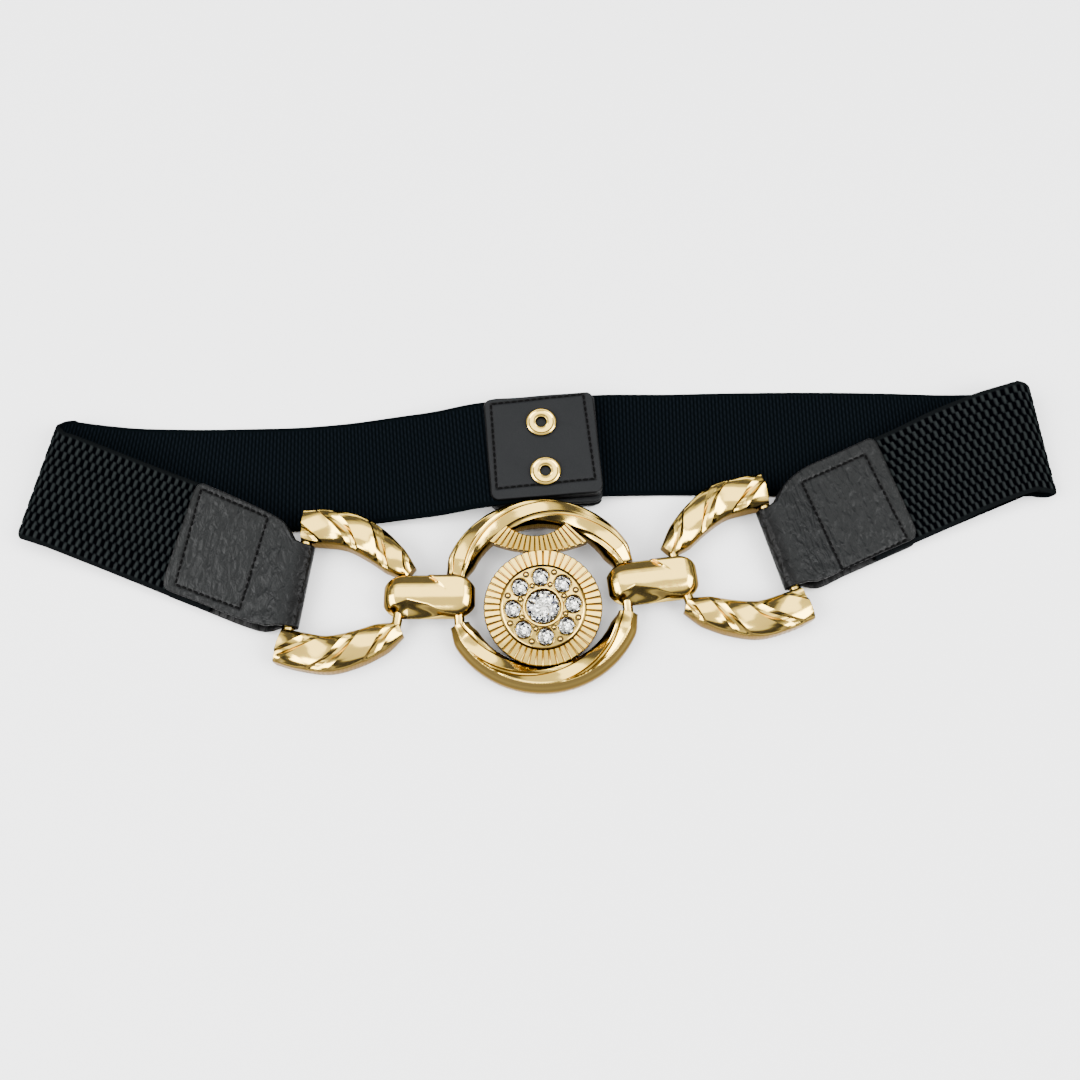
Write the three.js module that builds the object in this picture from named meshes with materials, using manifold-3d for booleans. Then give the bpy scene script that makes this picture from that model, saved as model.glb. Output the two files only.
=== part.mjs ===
// Elastic waist belt with a linked metal front, closed and lying on a table.
// Millimetres, +Z up, +X to the wearer's left, front links towards -Y.

import * as THREE from 'three';
import { mergeVertices } from 'three/addons/utils/BufferGeometryUtils.js';
import Module from 'manifold-3d';

const wasm = await Module();
wasm.setup();

// Driving dimensions
const CLEARANCE = 0.3;
const BAND_WIDTH = 39.5;
const BAND_THICKNESS = 1.6;
const LEATHER = 1.1;
const POCKET_GAP = 0.25;
const TAB_THICKNESS = 2 * LEATHER + BAND_THICKNESS + 2 * POCKET_GAP;
const CAP_HEIGHT = 1.2;
const OUTER_TAB_BASE = CAP_HEIGHT + CLEARANCE;
const INNER_TAB_BASE = OUTER_TAB_BASE + TAB_THICKNESS + CLEARANCE;
const BAND_ON_TABLE = BAND_THICKNESS / 2;

const RING_OUTER = 33.2;
const RING_INNER = 24;
const RING_PATH = (RING_OUTER + RING_INNER) / 2;
const RING_OVAL = 1.035;
const RING_HEIGHT = 8.6;
const RING_CORE = 3.9;
const RING_CENTRE = [0.7, -21.7];
const RING_TURN = 4.5;
const RING_GAP = 17;
const NECK_RADIUS = 1.7;

const LINK_REACH = 37.6;
const LINK_BAR_RADIUS = 2;
const LINK_BAR_AT = 2;
const LINK_CORE = 4.3;
const LINK_LEAN = 2.6;
const LINK_LIFT = 1.45;

const CONNECTOR_LENGTH = 30.9;
const CONNECTOR_WIDTH = 14.8;
const CONNECTOR_HEIGHT = 9.8;
const CONNECTOR_WALL = 2.2;

const radians = THREE.MathUtils.degToRad;

// Solids from points
function closedGeometry(points, triangles) {
  const geometry = new THREE.BufferGeometry();
  const numbers = points.flatMap((p) => [p.x, p.y, p.z]);
  geometry.setAttribute('position', new THREE.Float32BufferAttribute(numbers, 3));
  let volume = 0;
  for (const [a, b, c] of triangles) {
    volume += points[a].dot(points[b].clone().cross(points[c]));
  }
  geometry.setIndex(triangles.flatMap(([a, b, c]) => (volume > 0 ? [a, b, c] : [a, c, b])));
  return geometry;
}

// A skin over a row of equal sections; an open row gets zigzag end faces
function loft(sections, endless = false) {
  const count = sections[0].length;
  const triangles = [];
  const spans = endless ? sections.length : sections.length - 1;
  for (let k = 0; k < spans; k += 1) {
    const here = k * count;
    const next = ((k + 1) % sections.length) * count;
    for (let i = 0; i < count; i += 1) {
      const j = (i + 1) % count;
      triangles.push([here + i, here + j, next + j], [here + i, next + j, next + i]);
    }
  }
  if (!endless) {
    const last = (sections.length - 1) * count;
    let low = 0;
    let high = count - 1;
    while (high - low > 1) {
      triangles.push([low, high, low + 1], [last + low, last + low + 1, last + high]);
      if (high - low > 2) {
        triangles.push([low + 1, high, high - 1], [last + low + 1, last + high - 1, last + high]);
      }
      low += 1;
      high -= 1;
    }
  }
  return closedGeometry(sections.flat(), triangles);
}

function toSolid(geometry) {
  const bare = geometry.clone();
  bare.deleteAttribute('normal');
  bare.deleteAttribute('uv');
  const merged = mergeVertices(bare, 1e-4);
  const mesh = new wasm.Mesh({
    numProp: 3,
    vertProperties: new Float32Array(merged.attributes.position.array),
    triVerts: new Uint32Array(merged.index.array),
  });
  return new wasm.Manifold(mesh);
}

function toGeometry(solid) {
  const mesh = solid.getMesh();
  const geometry = new THREE.BufferGeometry();
  geometry.setAttribute('position', new THREE.BufferAttribute(new Float32Array(mesh.vertProperties), 3));
  geometry.setIndex(new THREE.BufferAttribute(new Uint32Array(mesh.triVerts), 1));
  return geometry;
}

// An upright cylinder, and one that lies along Y
function upright(radius, low, high, x, y, sides) {
  const cylinder = new THREE.CylinderGeometry(radius, radius, high - low, sides);
  cylinder.rotateX(Math.PI / 2);
  cylinder.translate(x, y, (low + high) / 2);
  return cylinder;
}

function alongY(radius, length, x, y, z, sides) {
  const cylinder = new THREE.CylinderGeometry(radius, radius, length, sides);
  cylinder.translate(x, y, z);
  return cylinder;
}

// Cloth and leather: a ribbon through stations, each a middle, a line across and a half width.
// A line across that runs askew to the travel is lengthened, up to a limit.
const MOST_SKEW = 1.03;

function ribbon(stations, thickness, divisions = 4) {
  const sections = stations.map((station, k) => {
    const before = stations[Math.max(k - 1, 0)].middle;
    const after = stations[Math.min(k + 1, stations.length - 1)].middle;
    const travel = after.clone().sub(before).normalize();
    const face = station.across.clone().cross(travel);
    const reach = station.half * Math.min(1 / face.length(), MOST_SKEW);
    face.normalize().multiplyScalar(thickness / 2);
    const row = [];
    for (let i = 0; i <= divisions; i += 1) {
      const t = (2 * i) / divisions - 1;
      row.push(station.middle.clone().addScaledVector(station.across, t * reach));
    }
    const top = row.map((p) => p.clone().add(face));
    const under = row.map((p) => p.clone().sub(face)).reverse();
    return [...top, ...under];
  });
  return loft(sections);
}

// A row gives a middle, the direction of the line across, and the heights of its two ends
function edgesOf(row) {
  const half = row.half ?? BAND_WIDTH / 2;
  const rise = (row.high - row.low) / 2;
  const flat = Math.sqrt(half * half - rise * rise);
  const angle = radians(row.across);
  const reach = new THREE.Vector3(Math.cos(angle) * flat, Math.sin(angle) * flat, rise);
  const middle = new THREE.Vector3(row.x, row.y, (row.low + row.high) / 2);
  return { low: middle.clone().sub(reach), high: middle.clone().add(reach) };
}

function stationBetween(low, high) {
  const across = high.clone().sub(low);
  return {
    middle: low.clone().add(high).multiplyScalar(0.5),
    half: across.length() / 2,
    across: across.normalize(),
  };
}

function stationsThrough(rows, count) {
  const edges = rows.map(edgesOf);
  const low = new THREE.CatmullRomCurve3(edges.map((edge) => edge.low), false, 'catmullrom', 0.5);
  const high = new THREE.CatmullRomCurve3(edges.map((edge) => edge.high), false, 'catmullrom', 0.5);
  const onTable = (point) => point.setZ(Math.max(point.z, BAND_ON_TABLE));
  const stations = [];
  for (let k = 0; k <= count; k += 1) {
    stations.push(stationBetween(onTable(low.getPoint(k / count)), onTable(high.getPoint(k / count))));
  }
  return stations;
}

// The turn at the side of the belt, from the layer on the table up to the layer above it
function turnStations(under, over, bulge, outwards, count = 8) {
  const bend = (from, to, angle) => {
    const middle = from.clone().add(to).multiplyScalar(0.5);
    const arm = from.clone().sub(to).multiplyScalar(0.5 * Math.cos(angle));
    return middle.add(arm).addScaledVector(outwards, bulge * Math.sin(angle));
  };
  const first = edgesOf(under);
  const second = edgesOf(over);
  const stations = [];
  for (let k = 1; k < count; k += 1) {
    const angle = (Math.PI * k) / count;
    stations.push(stationBetween(bend(first.low, second.low, angle), bend(first.high, second.high, angle)));
  }
  return stations;
}

const TURN_BULGE = 6.2;
const BACK_SPANS = 21;
const FRONT_SPANS = 12;

function elasticBand(back, front, outwards) {
  const turn = turnStations(back.at(-1), front[0], TURN_BULGE, outwards);
  const stations = [...stationsThrough(back, BACK_SPANS), ...turn, ...stationsThrough(front, FRONT_SPANS)];
  stations.forEach((station) => {
    station.half = BAND_WIDTH / 2;
  });
  return ribbon(stations, BAND_THICKNESS);
}

// Webbing: rows run from the fastening at the back, round the side, to the leather tab in front
const INNER_POCKET = INNER_TAB_BASE + TAB_THICKNESS / 2;
const OUTER_POCKET = OUTER_TAB_BASE + TAB_THICKNESS / 2;

const leftBack = [
  { x: -8, y: 30.4, across: 95.5, low: INNER_POCKET, high: INNER_POCKET },
  { x: -21, y: 28.8, across: 96.5, low: INNER_POCKET, high: INNER_POCKET },
  { x: -36, y: 26.6, across: 96.5, low: 6, high: 6 },
  { x: -51, y: 25.7, across: 96, low: 3, high: 3 },
  { x: -66, y: 24.3, across: 95, low: 1.2, high: 1.2 },
  { x: -84, y: 22.8, across: 93, low: BAND_ON_TABLE, high: BAND_ON_TABLE },
  { x: -102, y: 22.2, across: 91, low: BAND_ON_TABLE, high: BAND_ON_TABLE },
  { x: -122, y: 21.9, across: 88, low: BAND_ON_TABLE, high: BAND_ON_TABLE },
  { x: -143, y: 22.3, across: 85, low: BAND_ON_TABLE, high: BAND_ON_TABLE },
  { x: -157, y: 23.2, across: 82, low: BAND_ON_TABLE, high: 1.6 },
  { x: -168, y: 24.3, across: 79, low: BAND_ON_TABLE, high: 2.6 },
];
const leftFront = [
  { x: -168.8, y: 16, across: 73.6, low: 6.5, high: 13 },
  { x: -154, y: 10.4, across: 73.6, low: 4.8, high: 12 },
  { x: -139, y: 4.7, across: 73.8, low: 3.6, high: 10.6 },
  { x: -122.9, y: -1.4, across: 73.9, low: 3, high: 9.5 },
  { x: -107, y: -8, across: 76, low: 3.2, high: 8.6 },
];
const rightBack = [
  { x: 7, y: 33.6, across: 92, low: OUTER_POCKET, high: OUTER_POCKET },
  { x: 21, y: 34.6, across: 92, low: OUTER_POCKET, high: OUTER_POCKET },
  { x: 33, y: 35.6, across: 90.5, low: 2, high: 2 },
  { x: 47, y: 36.2, across: 90, low: BAND_ON_TABLE, high: BAND_ON_TABLE },
  { x: 72, y: 36.8, across: 90.5, low: BAND_ON_TABLE, high: BAND_ON_TABLE },
  { x: 98, y: 37, across: 90.5, low: BAND_ON_TABLE, high: BAND_ON_TABLE },
  { x: 123, y: 36.7, across: 91, low: BAND_ON_TABLE, high: BAND_ON_TABLE },
  { x: 144, y: 36, across: 94, low: BAND_ON_TABLE, high: BAND_ON_TABLE },
  { x: 159, y: 35.7, across: 98, low: BAND_ON_TABLE, high: 1.6 },
  { x: 171, y: 35.8, across: 100, low: BAND_ON_TABLE, high: 2.4 },
];
const rightFront = [
  { x: 170.6, y: 35.6, across: 98, low: 6.3, high: 12.4 },
  { x: 159.4, y: 32.2, across: 103, low: 5.2, high: 11.6 },
  { x: 146.4, y: 27.1, across: 105.5, low: 4.2, high: 10 },
  { x: 132.8, y: 20.7, across: 108, low: 3.5, high: 8.2 },
  { x: 123.5, y: 16.7, across: 110, low: 3.1, high: 7 },
  { x: 109, y: 10, across: 109, low: 3.3, high: 6.8 },
];
const LEFT_OUTWARDS = new THREE.Vector3(-0.985, 0.17, 0);
const RIGHT_OUTWARDS = new THREE.Vector3(0.99, -0.1, 0);

// Leather tabs at the front: a strip folded round the link's bar, with the webbing between its layers
const leftTab = [
  { x: -123.3, y: -1.3, across: 73.9, half: 20.2, low: 3, high: 9.5 },
  { x: -109, y: -7.2, across: 76, half: 20, low: 3.2, high: 8.7 },
  { x: -97, y: -12.4, across: 79, half: 19.8, low: 3.8, high: 8 },
  { x: -90, y: -15.5, across: 81, half: 18.8, low: 4.6, high: 7.5 },
  { x: -85.6, y: -18, across: 81.8, half: 15.1, low: 5.4, high: 7 },
];
const rightTab = [
  { x: 123.9, y: 16.9, across: 110, half: 20.3, low: 3.1, high: 7 },
  { x: 110, y: 10.4, across: 109, half: 20.1, low: 3.3, high: 6.9 },
  { x: 98, y: 4.8, across: 108, half: 20, low: 3.8, high: 6.9 },
  { x: 90, y: -0.4, across: 107, half: 18.8, low: 4.6, high: 7 },
  { x: 85.2, y: -3.5, across: 107, half: 15.1, low: 5.4, high: 7 },
];
const TAB_FOLD_HALF = 14.5;
const TAB_SPANS = 12;

function foldedTab(rows, bar) {
  const flat = stationsThrough(rows, TAB_SPANS);
  const thin = BAND_THICKNESS / 2 + POCKET_GAP + LEATHER / 2;
  const wide = LINK_BAR_RADIUS + CLEARANCE + LEATHER / 2;
  const layer = (side) => flat.map((station, k) => {
    const swell = THREE.MathUtils.smoothstep(k / TAB_SPANS, 0.5, 0.93);
    const offset = side * THREE.MathUtils.lerp(thin, wide, swell);
    const middle = station.middle.clone();
    middle.addScaledVector(upFace(station, flat, k), offset);
    return { middle, across: station.across.clone(), half: station.half };
  });
  const round = [];
  for (let k = 0; k <= 8; k += 1) {
    const angle = Math.PI * (0.5 - k / 8);
    const middle = bar.centre.clone();
    middle.addScaledVector(bar.away, wide * Math.cos(angle)).addScaledVector(bar.up, wide * Math.sin(angle));
    round.push({ middle, across: bar.across.clone(), half: TAB_FOLD_HALF });
  }
  return ribbon([...layer(1), ...round, ...layer(-1).reverse()], LEATHER, 4);
}

function upFace(station, all, k) {
  const travel = all[Math.min(k + 1, all.length - 1)].middle.clone().sub(all[Math.max(k - 1, 0)].middle);
  const face = station.across.clone().cross(travel).normalize();
  return face.z < 0 ? face.negate() : face;
}

// Leather tabs at the back: flat slabs with cut corners, a pocket for the webbing and two stud holes
const STUDS = [
  { x: 0.4, y: 40.1 },
  { x: 1.9, y: 21.5 },
];
const STUD_POST = 2.3;
const STUD_FLANGE = 5.35;
const STUD_CAP = 6;
const STUD_BORE = 1.8;
const STUD_HOLE_DEPTH = 4;
const backTabs = {
  back_tab_inner: { x: 0.9, y: 31.6, turn: 5, tall: 38.6, base: INNER_TAB_BASE, mouth: -1, depth: 14 },
  back_tab_outer: { x: 1.2, y: 32, turn: 3.5, tall: 42, base: OUTER_TAB_BASE, mouth: 1, depth: 15 },
};

const BACK_TAB_WIDTH = 39;
const BACK_TAB_CORNER = 3;

function backTab(tab) {
  const corner = BACK_TAB_CORNER;
  const right = BACK_TAB_WIDTH / 2;
  const top = tab.tall / 2;
  const outline = new THREE.Shape();
  outline.moveTo(-right + corner, -top);
  outline.lineTo(right - corner, -top);
  outline.quadraticCurveTo(right, -top, right, -top + corner);
  outline.lineTo(right, top - corner);
  outline.quadraticCurveTo(right, top, right - corner, top);
  outline.lineTo(-right + corner, top);
  outline.quadraticCurveTo(-right, top, -right, top - corner);
  outline.lineTo(-right, -top + corner);
  outline.quadraticCurveTo(-right, -top, -right + corner, -top);
  const upwards = { depth: TAB_THICKNESS, bevelEnabled: false, curveSegments: 4 };
  const slab = new THREE.ExtrudeGeometry(outline, upwards);
  const pocket = new THREE.BoxGeometry(2 * tab.depth, tab.tall + 2, BAND_THICKNESS + 2 * POCKET_GAP);
  pocket.translate(tab.mouth * right, 0, TAB_THICKNESS / 2);
  let solid = toSolid(slab).subtract(toSolid(pocket));
  for (const stud of STUDS) {
    const place = new THREE.Vector2(stud.x - tab.x, stud.y - tab.y);
    place.rotateAround(new THREE.Vector2(), -radians(tab.turn));
    const hole = upright(STUD_POST + CLEARANCE, -1, TAB_THICKNESS + 1, place.x, place.y, 16);
    solid = solid.subtract(toSolid(hole));
  }
  return toGeometry(solid);
}

// Press studs: a domed cap below, a hollow post through both tabs, a flat flange with a hole on top
function pressStud() {
  const seat = INNER_TAB_BASE + TAB_THICKNESS + CLEARANCE;
  const floor = seat - STUD_HOLE_DEPTH;
  const outline = [
    [0, 0], [STUD_CAP - 2, 0], [STUD_CAP, 0.7], [STUD_CAP, CAP_HEIGHT], [STUD_POST, CAP_HEIGHT],
    [STUD_POST, seat], [STUD_FLANGE, seat], [STUD_FLANGE, seat + 0.4], [STUD_FLANGE - 0.5, seat + 0.8],
    [STUD_BORE + 0.4, seat + 0.7], [STUD_BORE, seat + 0.3], [STUD_BORE, floor], [0, floor],
  ];
  const stud = new THREE.LatheGeometry(outline.map(([x, y]) => new THREE.Vector2(x, y)), 16);
  stud.rotateX(Math.PI / 2);
  return toGeometry(toSolid(stud));
}

// Twisted bars: the section has two valleys and two wide strands, which turn along the path,
// and the lower side is a smooth wall down to a flat back
const SECTION = [
  { degrees: 0, size: 1 },
  { degrees: 30, size: 0.82 },
  { degrees: 60, size: 1 },
  { degrees: 120, size: 0.88 },
];
const WALL_BELOW = -0.15;

function twistedBar(path, count) {
  const sections = [];
  for (let k = 0; k <= count; k += 1) {
    const { at, side, halfWide, halfTall, core, turn } = path(k / count);
    const section = [];
    for (const half of [0, Math.PI]) {
      for (const corner of SECTION) {
        const angle = turn + half + radians(corner.degrees);
        const size = Math.sin(angle) < WALL_BELOW ? 1 : corner.size;
        const point = at.clone().addScaledVector(side, halfWide * size * Math.cos(angle));
        point.z = Math.max(0, core + halfTall * size * Math.sin(angle));
        section.push(point);
      }
    }
    sections.push(section);
  }
  return loft(sections);
}

// Horseshoe link: two mirrored twisted arms, a hidden bar for the tab and a thin neck for the connector
const armRows = [
  { x: 0, y: 21, half: 5.9 },
  { x: 8, y: 21.8, half: 6.2 },
  { x: 17, y: 21.6, half: 6.2 },
  { x: 25.5, y: 18.3, half: 5.8 },
  { x: 33, y: 13.8, half: 5 },
  { x: 39.4, y: 9.8, half: 2.6 },
];
const ARM_SPANS = 24;
// Degrees turned at the cut end, along the arm and more and more along it
const UPPER_ARM_TWIST = { first: -90, even: 407, growing: 126 };
const LOWER_ARM_TWIST = { first: 63, even: 492, growing: 0 };
const ARM_TALLEST = 5;
const ARM_ROUNDNESS = 0.86;
const BAR_LENGTH = 34;
const LINK_NECK_LENGTH = 22;

// One arm, from its cut end by the bar to its tip by the neck
function linkArm(mirror) {
  const places = armRows.map((row) => new THREE.Vector3(row.x, mirror * row.y, 0));
  const middle = new THREE.CatmullRomCurve3(places);
  const widths = new THREE.CatmullRomCurve3(armRows.map((row) => new THREE.Vector3(row.half, 0, 0)));
  const twist = mirror > 0 ? UPPER_ARM_TWIST : LOWER_ARM_TWIST;
  return twistedBar((t) => {
    const travel = middle.getTangent(t);
    const halfWide = widths.getPoint(t).x;
    const turned = radians(twist.first + twist.even * t + twist.growing * t * t);
    return {
      at: middle.getPoint(t),
      side: new THREE.Vector3(-travel.y, travel.x, 0),
      halfWide,
      halfTall: Math.min(ARM_TALLEST, halfWide * ARM_ROUNDNESS),
      core: LINK_CORE,
      turn: mirror > 0 ? turned : Math.PI - turned,
    };
  }, ARM_SPANS);
}

function horseshoeLink() {
  const bar = alongY(LINK_BAR_RADIUS, BAR_LENGTH, LINK_BAR_AT, 0, LINK_CORE, 12);
  const neck = alongY(NECK_RADIUS, LINK_NECK_LENGTH, LINK_REACH, 0, LINK_CORE, 12);
  const parts = [linkArm(1), linkArm(-1), bar, neck].map(toSolid);
  return toGeometry(parts.reduce((sum, part) => sum.add(part)));
}

// Connector: a flattened barrel with a slot right through it for the two necks.
// It keeps its full width over the middle part of its length and narrows to the rounded ends.
const BARREL_SPANS = 16;
const BARREL_SIDES = 14;
const BARREL_SQUARENESS = 0.8;
const BARREL_EVEN_PART = 0.55;
const BARREL_NARROWING = 0.82;
const BARREL_END_HEIGHT = 0.6;

function connector() {
  const half = CONNECTOR_LENGTH / 2;
  const tall = CONNECTOR_HEIGHT / 2;
  const sections = [];
  for (let k = 0; k <= BARREL_SPANS; k += 1) {
    const x = -half * Math.cos((Math.PI * k) / BARREL_SPANS);
    const bow = Math.max(0, Math.abs(x) - half + tall);
    const high = Math.max(BARREL_END_HEIGHT, Math.sqrt(tall * tall - bow * bow));
    const fade = Math.max(0, Math.abs(x) / half - BARREL_EVEN_PART) / (1 - BARREL_EVEN_PART);
    const wide = (CONNECTOR_WIDTH / 2) * Math.sqrt(1 - BARREL_NARROWING * fade * fade);
    const section = [];
    for (let i = 0; i < BARREL_SIDES; i += 1) {
      const angle = (2 * Math.PI * i) / BARREL_SIDES;
      const round = (value) => Math.sign(value) * Math.pow(Math.abs(value), BARREL_SQUARENESS);
      section.push(new THREE.Vector3(x, wide * round(Math.cos(angle)), high * round(Math.sin(angle))));
    }
    sections.push(section);
  }
  const slotHalf = half - CONNECTOR_WALL;
  const slotTall = NECK_RADIUS + 0.8;
  const slot = new THREE.Shape();
  slot.absarc(slotHalf - slotTall, 0, slotTall, -Math.PI / 2, Math.PI / 2, false);
  slot.absarc(-slotHalf + slotTall, 0, slotTall, Math.PI / 2, (3 * Math.PI) / 2, false);
  const through = { depth: 2 * CONNECTOR_WIDTH, bevelEnabled: false, curveSegments: 8 };
  const cut = new THREE.ExtrudeGeometry(slot, through);
  cut.translate(0, 0, -CONNECTOR_WIDTH);
  cut.rotateX(Math.PI / 2);
  return toGeometry(toSolid(loft(sections)).subtract(toSolid(cut)));
}

// Centre ring: two twisted arcs, two necks, a fluted crossbar and a fluted rim that holds the stone disc
const RIM_AT = [0.3, -5];
const RIM_OUTER = 19.8;
const DISC_RADIUS = 14;
const RIM_INNER = DISC_RADIUS + CLEARANCE;
const RIM_BASE = 3;
const RIM_TOP = 7.3;
const FLUTE = 0.45;
const DISC_BASE = 5.2;
const DISC_TOP = 8;
const ARC_SPANS = 26;
const ARC_TURNS = 0.45;
const SHOULDER_SIZE = 0.72;
const SHOULDER_LENGTH = 0.08;

function ringArc(from, to) {
  return twistedBar((t) => {
    const angle = radians(from + (to - from) * t);
    const end = Math.min(t, 1 - t);
    const grown = THREE.MathUtils.smoothstep(end, 0, SHOULDER_LENGTH);
    const taper = THREE.MathUtils.lerp(SHOULDER_SIZE, 1, grown);
    const side = new THREE.Vector3(Math.cos(angle), Math.sin(angle), 0);
    return {
      at: side.clone().multiplyScalar(RING_PATH),
      side,
      halfWide: ((RING_OUTER - RING_INNER) / 2) * taper,
      halfTall: (RING_HEIGHT - RING_CORE) * taper,
      core: RING_CORE,
      turn: 2 * Math.PI * ARC_TURNS * t,
    };
  }, ARC_SPANS);
}

function ringNeck(angle) {
  const away = RING_PATH * Math.cos(radians(RING_GAP));
  const length = 2 * RING_PATH * Math.sin(radians(RING_GAP)) + 3;
  const neck = alongY(NECK_RADIUS, length, away, 0, RING_CORE, 12);
  neck.rotateZ(radians(angle));
  return neck;
}

// The rim's upper face slopes outwards by this much
const RIM_SLOPE = 0.9;
const RIM_FLUTES = 42;
const BAR_SLOPE = 0.6;
const BAR_FLUTES = 16;
const BAR_FIRST = 222;
const BAR_SWEEP = 96;

function flutedRim(flutes) {
  const sections = [];
  for (let k = 0; k < 2 * flutes; k += 1) {
    const angle = (Math.PI * k) / flutes;
    const groove = k % 2 === 0 ? 0 : FLUTE;
    const outline = [
      [RIM_INNER, RIM_BASE], [RIM_OUTER - groove / 3, RIM_BASE],
      [RIM_OUTER - groove / 3, RIM_TOP - RIM_SLOPE - groove], [RIM_INNER, RIM_TOP - groove],
    ];
    sections.push(outline.map(([r, z]) => new THREE.Vector3(r * Math.cos(angle), r * Math.sin(angle), z)));
  }
  const rim = loft(sections, true);
  rim.translate(RIM_AT[0], RIM_AT[1], 0);
  return rim;
}

// The crossbar is a crescent with ribs that spread from a point above the ring
function flutedCrossbar(flutes) {
  const hub = new THREE.Vector2(-2.5, 33.5);
  const near = 13.9;
  const lowHub = new THREE.Vector2(-1.3, 56);
  const lowRadius = lowHub.y - 14.2;
  const sections = [];
  for (let k = 0; k <= 2 * flutes; k += 1) {
    const angle = radians(BAR_FIRST + (BAR_SWEEP * k) / (2 * flutes));
    const ray = new THREE.Vector2(Math.cos(angle), Math.sin(angle));
    const apart = hub.clone().sub(lowHub);
    const lean = ray.dot(apart);
    const far = -lean + Math.sqrt(lean * lean + lowRadius * lowRadius - apart.lengthSq());
    const groove = k % 2 === 0 ? 0 : FLUTE;
    const inner = hub.clone().addScaledVector(ray, near);
    const outer = hub.clone().addScaledVector(ray, far);
    sections.push([
      new THREE.Vector3(inner.x, inner.y, RIM_BASE),
      new THREE.Vector3(outer.x, outer.y, RIM_BASE),
      new THREE.Vector3(outer.x, outer.y, RIM_TOP - BAR_SLOPE - groove),
      new THREE.Vector3(inner.x, inner.y, RIM_TOP - groove),
    ]);
  }
  return loft(sections);
}

function centreRing() {
  const upper = ringArc(RING_TURN + RING_GAP, RING_TURN + 180 - RING_GAP);
  const lower = ringArc(RING_TURN + 180 + RING_GAP, RING_TURN + 360 - RING_GAP);
  const plate = upright(RIM_INNER + 0.5, RIM_BASE, DISC_BASE - CLEARANCE, RIM_AT[0], RIM_AT[1], 48);
  const necks = [ringNeck(RING_TURN), ringNeck(RING_TURN + 180)];
  for (const shape of [upper, lower, ...necks]) {
    shape.scale(RING_OVAL, 1, 1);
  }
  const fluted = [flutedRim(RIM_FLUTES), flutedCrossbar(BAR_FLUTES)];
  const parts = [upper, lower, plate, ...necks, ...fluted].map(toSolid);
  return toGeometry(parts.reduce((sum, part) => sum.add(part)));
}

// Stone disc: a plate with a raised bezel, nine seats and two rings of small balls
const STONE_CENTRE = 5.5;
const STONE_SMALL = 2.75;
const STONE_CIRCLE = 10.1;
const STONE_COUNT = 8;
const STONE_START = 95;
const SEAT_DEPTH = 1.6;
const BEZEL_WIDTH = 1.3;
const BEZEL_RISE = 0.5;
const BALLS = [
  { circle: 12.4, radius: 0.7 },
  { circle: 7.7, radius: 0.6 },
];

function stonePlace(index) {
  const angle = radians(STONE_START - (360 * index) / STONE_COUNT);
  return new THREE.Vector2(STONE_CIRCLE * Math.cos(angle), STONE_CIRCLE * Math.sin(angle));
}

function stoneDisc() {
  let solid = toSolid(upright(DISC_RADIUS, DISC_BASE, DISC_TOP, 0, 0, 48));
  const bezel = upright(STONE_CENTRE + BEZEL_WIDTH, DISC_BASE + 1, DISC_TOP + BEZEL_RISE, 0, 0, 24);
  solid = solid.add(toSolid(bezel));
  const floor = DISC_TOP - SEAT_DEPTH;
  solid = solid.subtract(toSolid(upright(STONE_CENTRE + CLEARANCE, floor, DISC_TOP + 2, 0, 0, 16)));
  for (let k = 0; k < STONE_COUNT; k += 1) {
    const seat = stonePlace(k);
    const hollow = upright(STONE_SMALL + CLEARANCE, floor, DISC_TOP + 2, seat.x, seat.y, 12);
    solid = solid.subtract(toSolid(hollow));
    for (const { circle, radius } of BALLS) {
      const angle = radians(STONE_START - (360 * (k + 0.5)) / STONE_COUNT);
      const ball = new THREE.SphereGeometry(radius, 5, 4);
      ball.rotateX(Math.PI / 2);
      ball.translate(circle * Math.cos(angle), circle * Math.sin(angle), DISC_TOP);
      solid = solid.add(toSolid(ball));
    }
  }
  return toGeometry(solid);
}

// Cut stone: flat back, girdle, a ring of crown facets and a table
const GIRDLE_TOP = DISC_TOP + 0.1;
const TABLE_SHARE = 0.58;
const CROWN_SHARE = 0.28;

function cutStone(radius, sides) {
  const base = DISC_TOP - SEAT_DEPTH + CLEARANCE;
  const table = DISC_TOP + radius * CROWN_SHARE;
  const outline = [
    [0, base], [radius, base], [radius, GIRDLE_TOP], [radius * TABLE_SHARE, table], [0, table],
  ];
  const stone = new THREE.LatheGeometry(outline.map(([x, y]) => new THREE.Vector2(x, y)), sides);
  stone.rotateX(Math.PI / 2);
  return toGeometry(toSolid(stone));
}

// Finishes
const finish = {
  elastic: new THREE.MeshStandardMaterial({ color: 0x101417, roughness: 0.9, metalness: 0 }),
  leather: new THREE.MeshStandardMaterial({ color: 0x3c3f3f, roughness: 0.55, metalness: 0 }),
  gold: new THREE.MeshStandardMaterial({ color: 0xe6c48c, roughness: 0.12, metalness: 1 }),
  stone: new THREE.MeshStandardMaterial({ color: 0xeef2f4, roughness: 0.03, metalness: 0 }),
};

function piece(name, geometry, material) {
  const mesh = new THREE.Mesh(geometry, material.clone());
  mesh.name = name;
  return mesh;
}

// Assembly
const belt = new THREE.Group();

const leftBand = elasticBand(leftBack, leftFront, LEFT_OUTWARDS);
const rightBand = elasticBand(rightBack, rightFront, RIGHT_OUTWARDS);
belt.add(piece('elastic_band_left', leftBand, finish.elastic));
belt.add(piece('elastic_band_right', rightBand, finish.elastic));

for (const [name, tab] of Object.entries(backTabs)) {
  const mesh = piece(name, backTab(tab), finish.leather);
  mesh.position.set(tab.x, tab.y, tab.base);
  mesh.rotation.z = radians(tab.turn);
  belt.add(mesh);
}
STUDS.forEach((stud, k) => {
  const mesh = piece(`press_stud_${k + 1}`, pressStud(), finish.gold);
  mesh.position.set(stud.x, stud.y, 0);
  belt.add(mesh);
});

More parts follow.
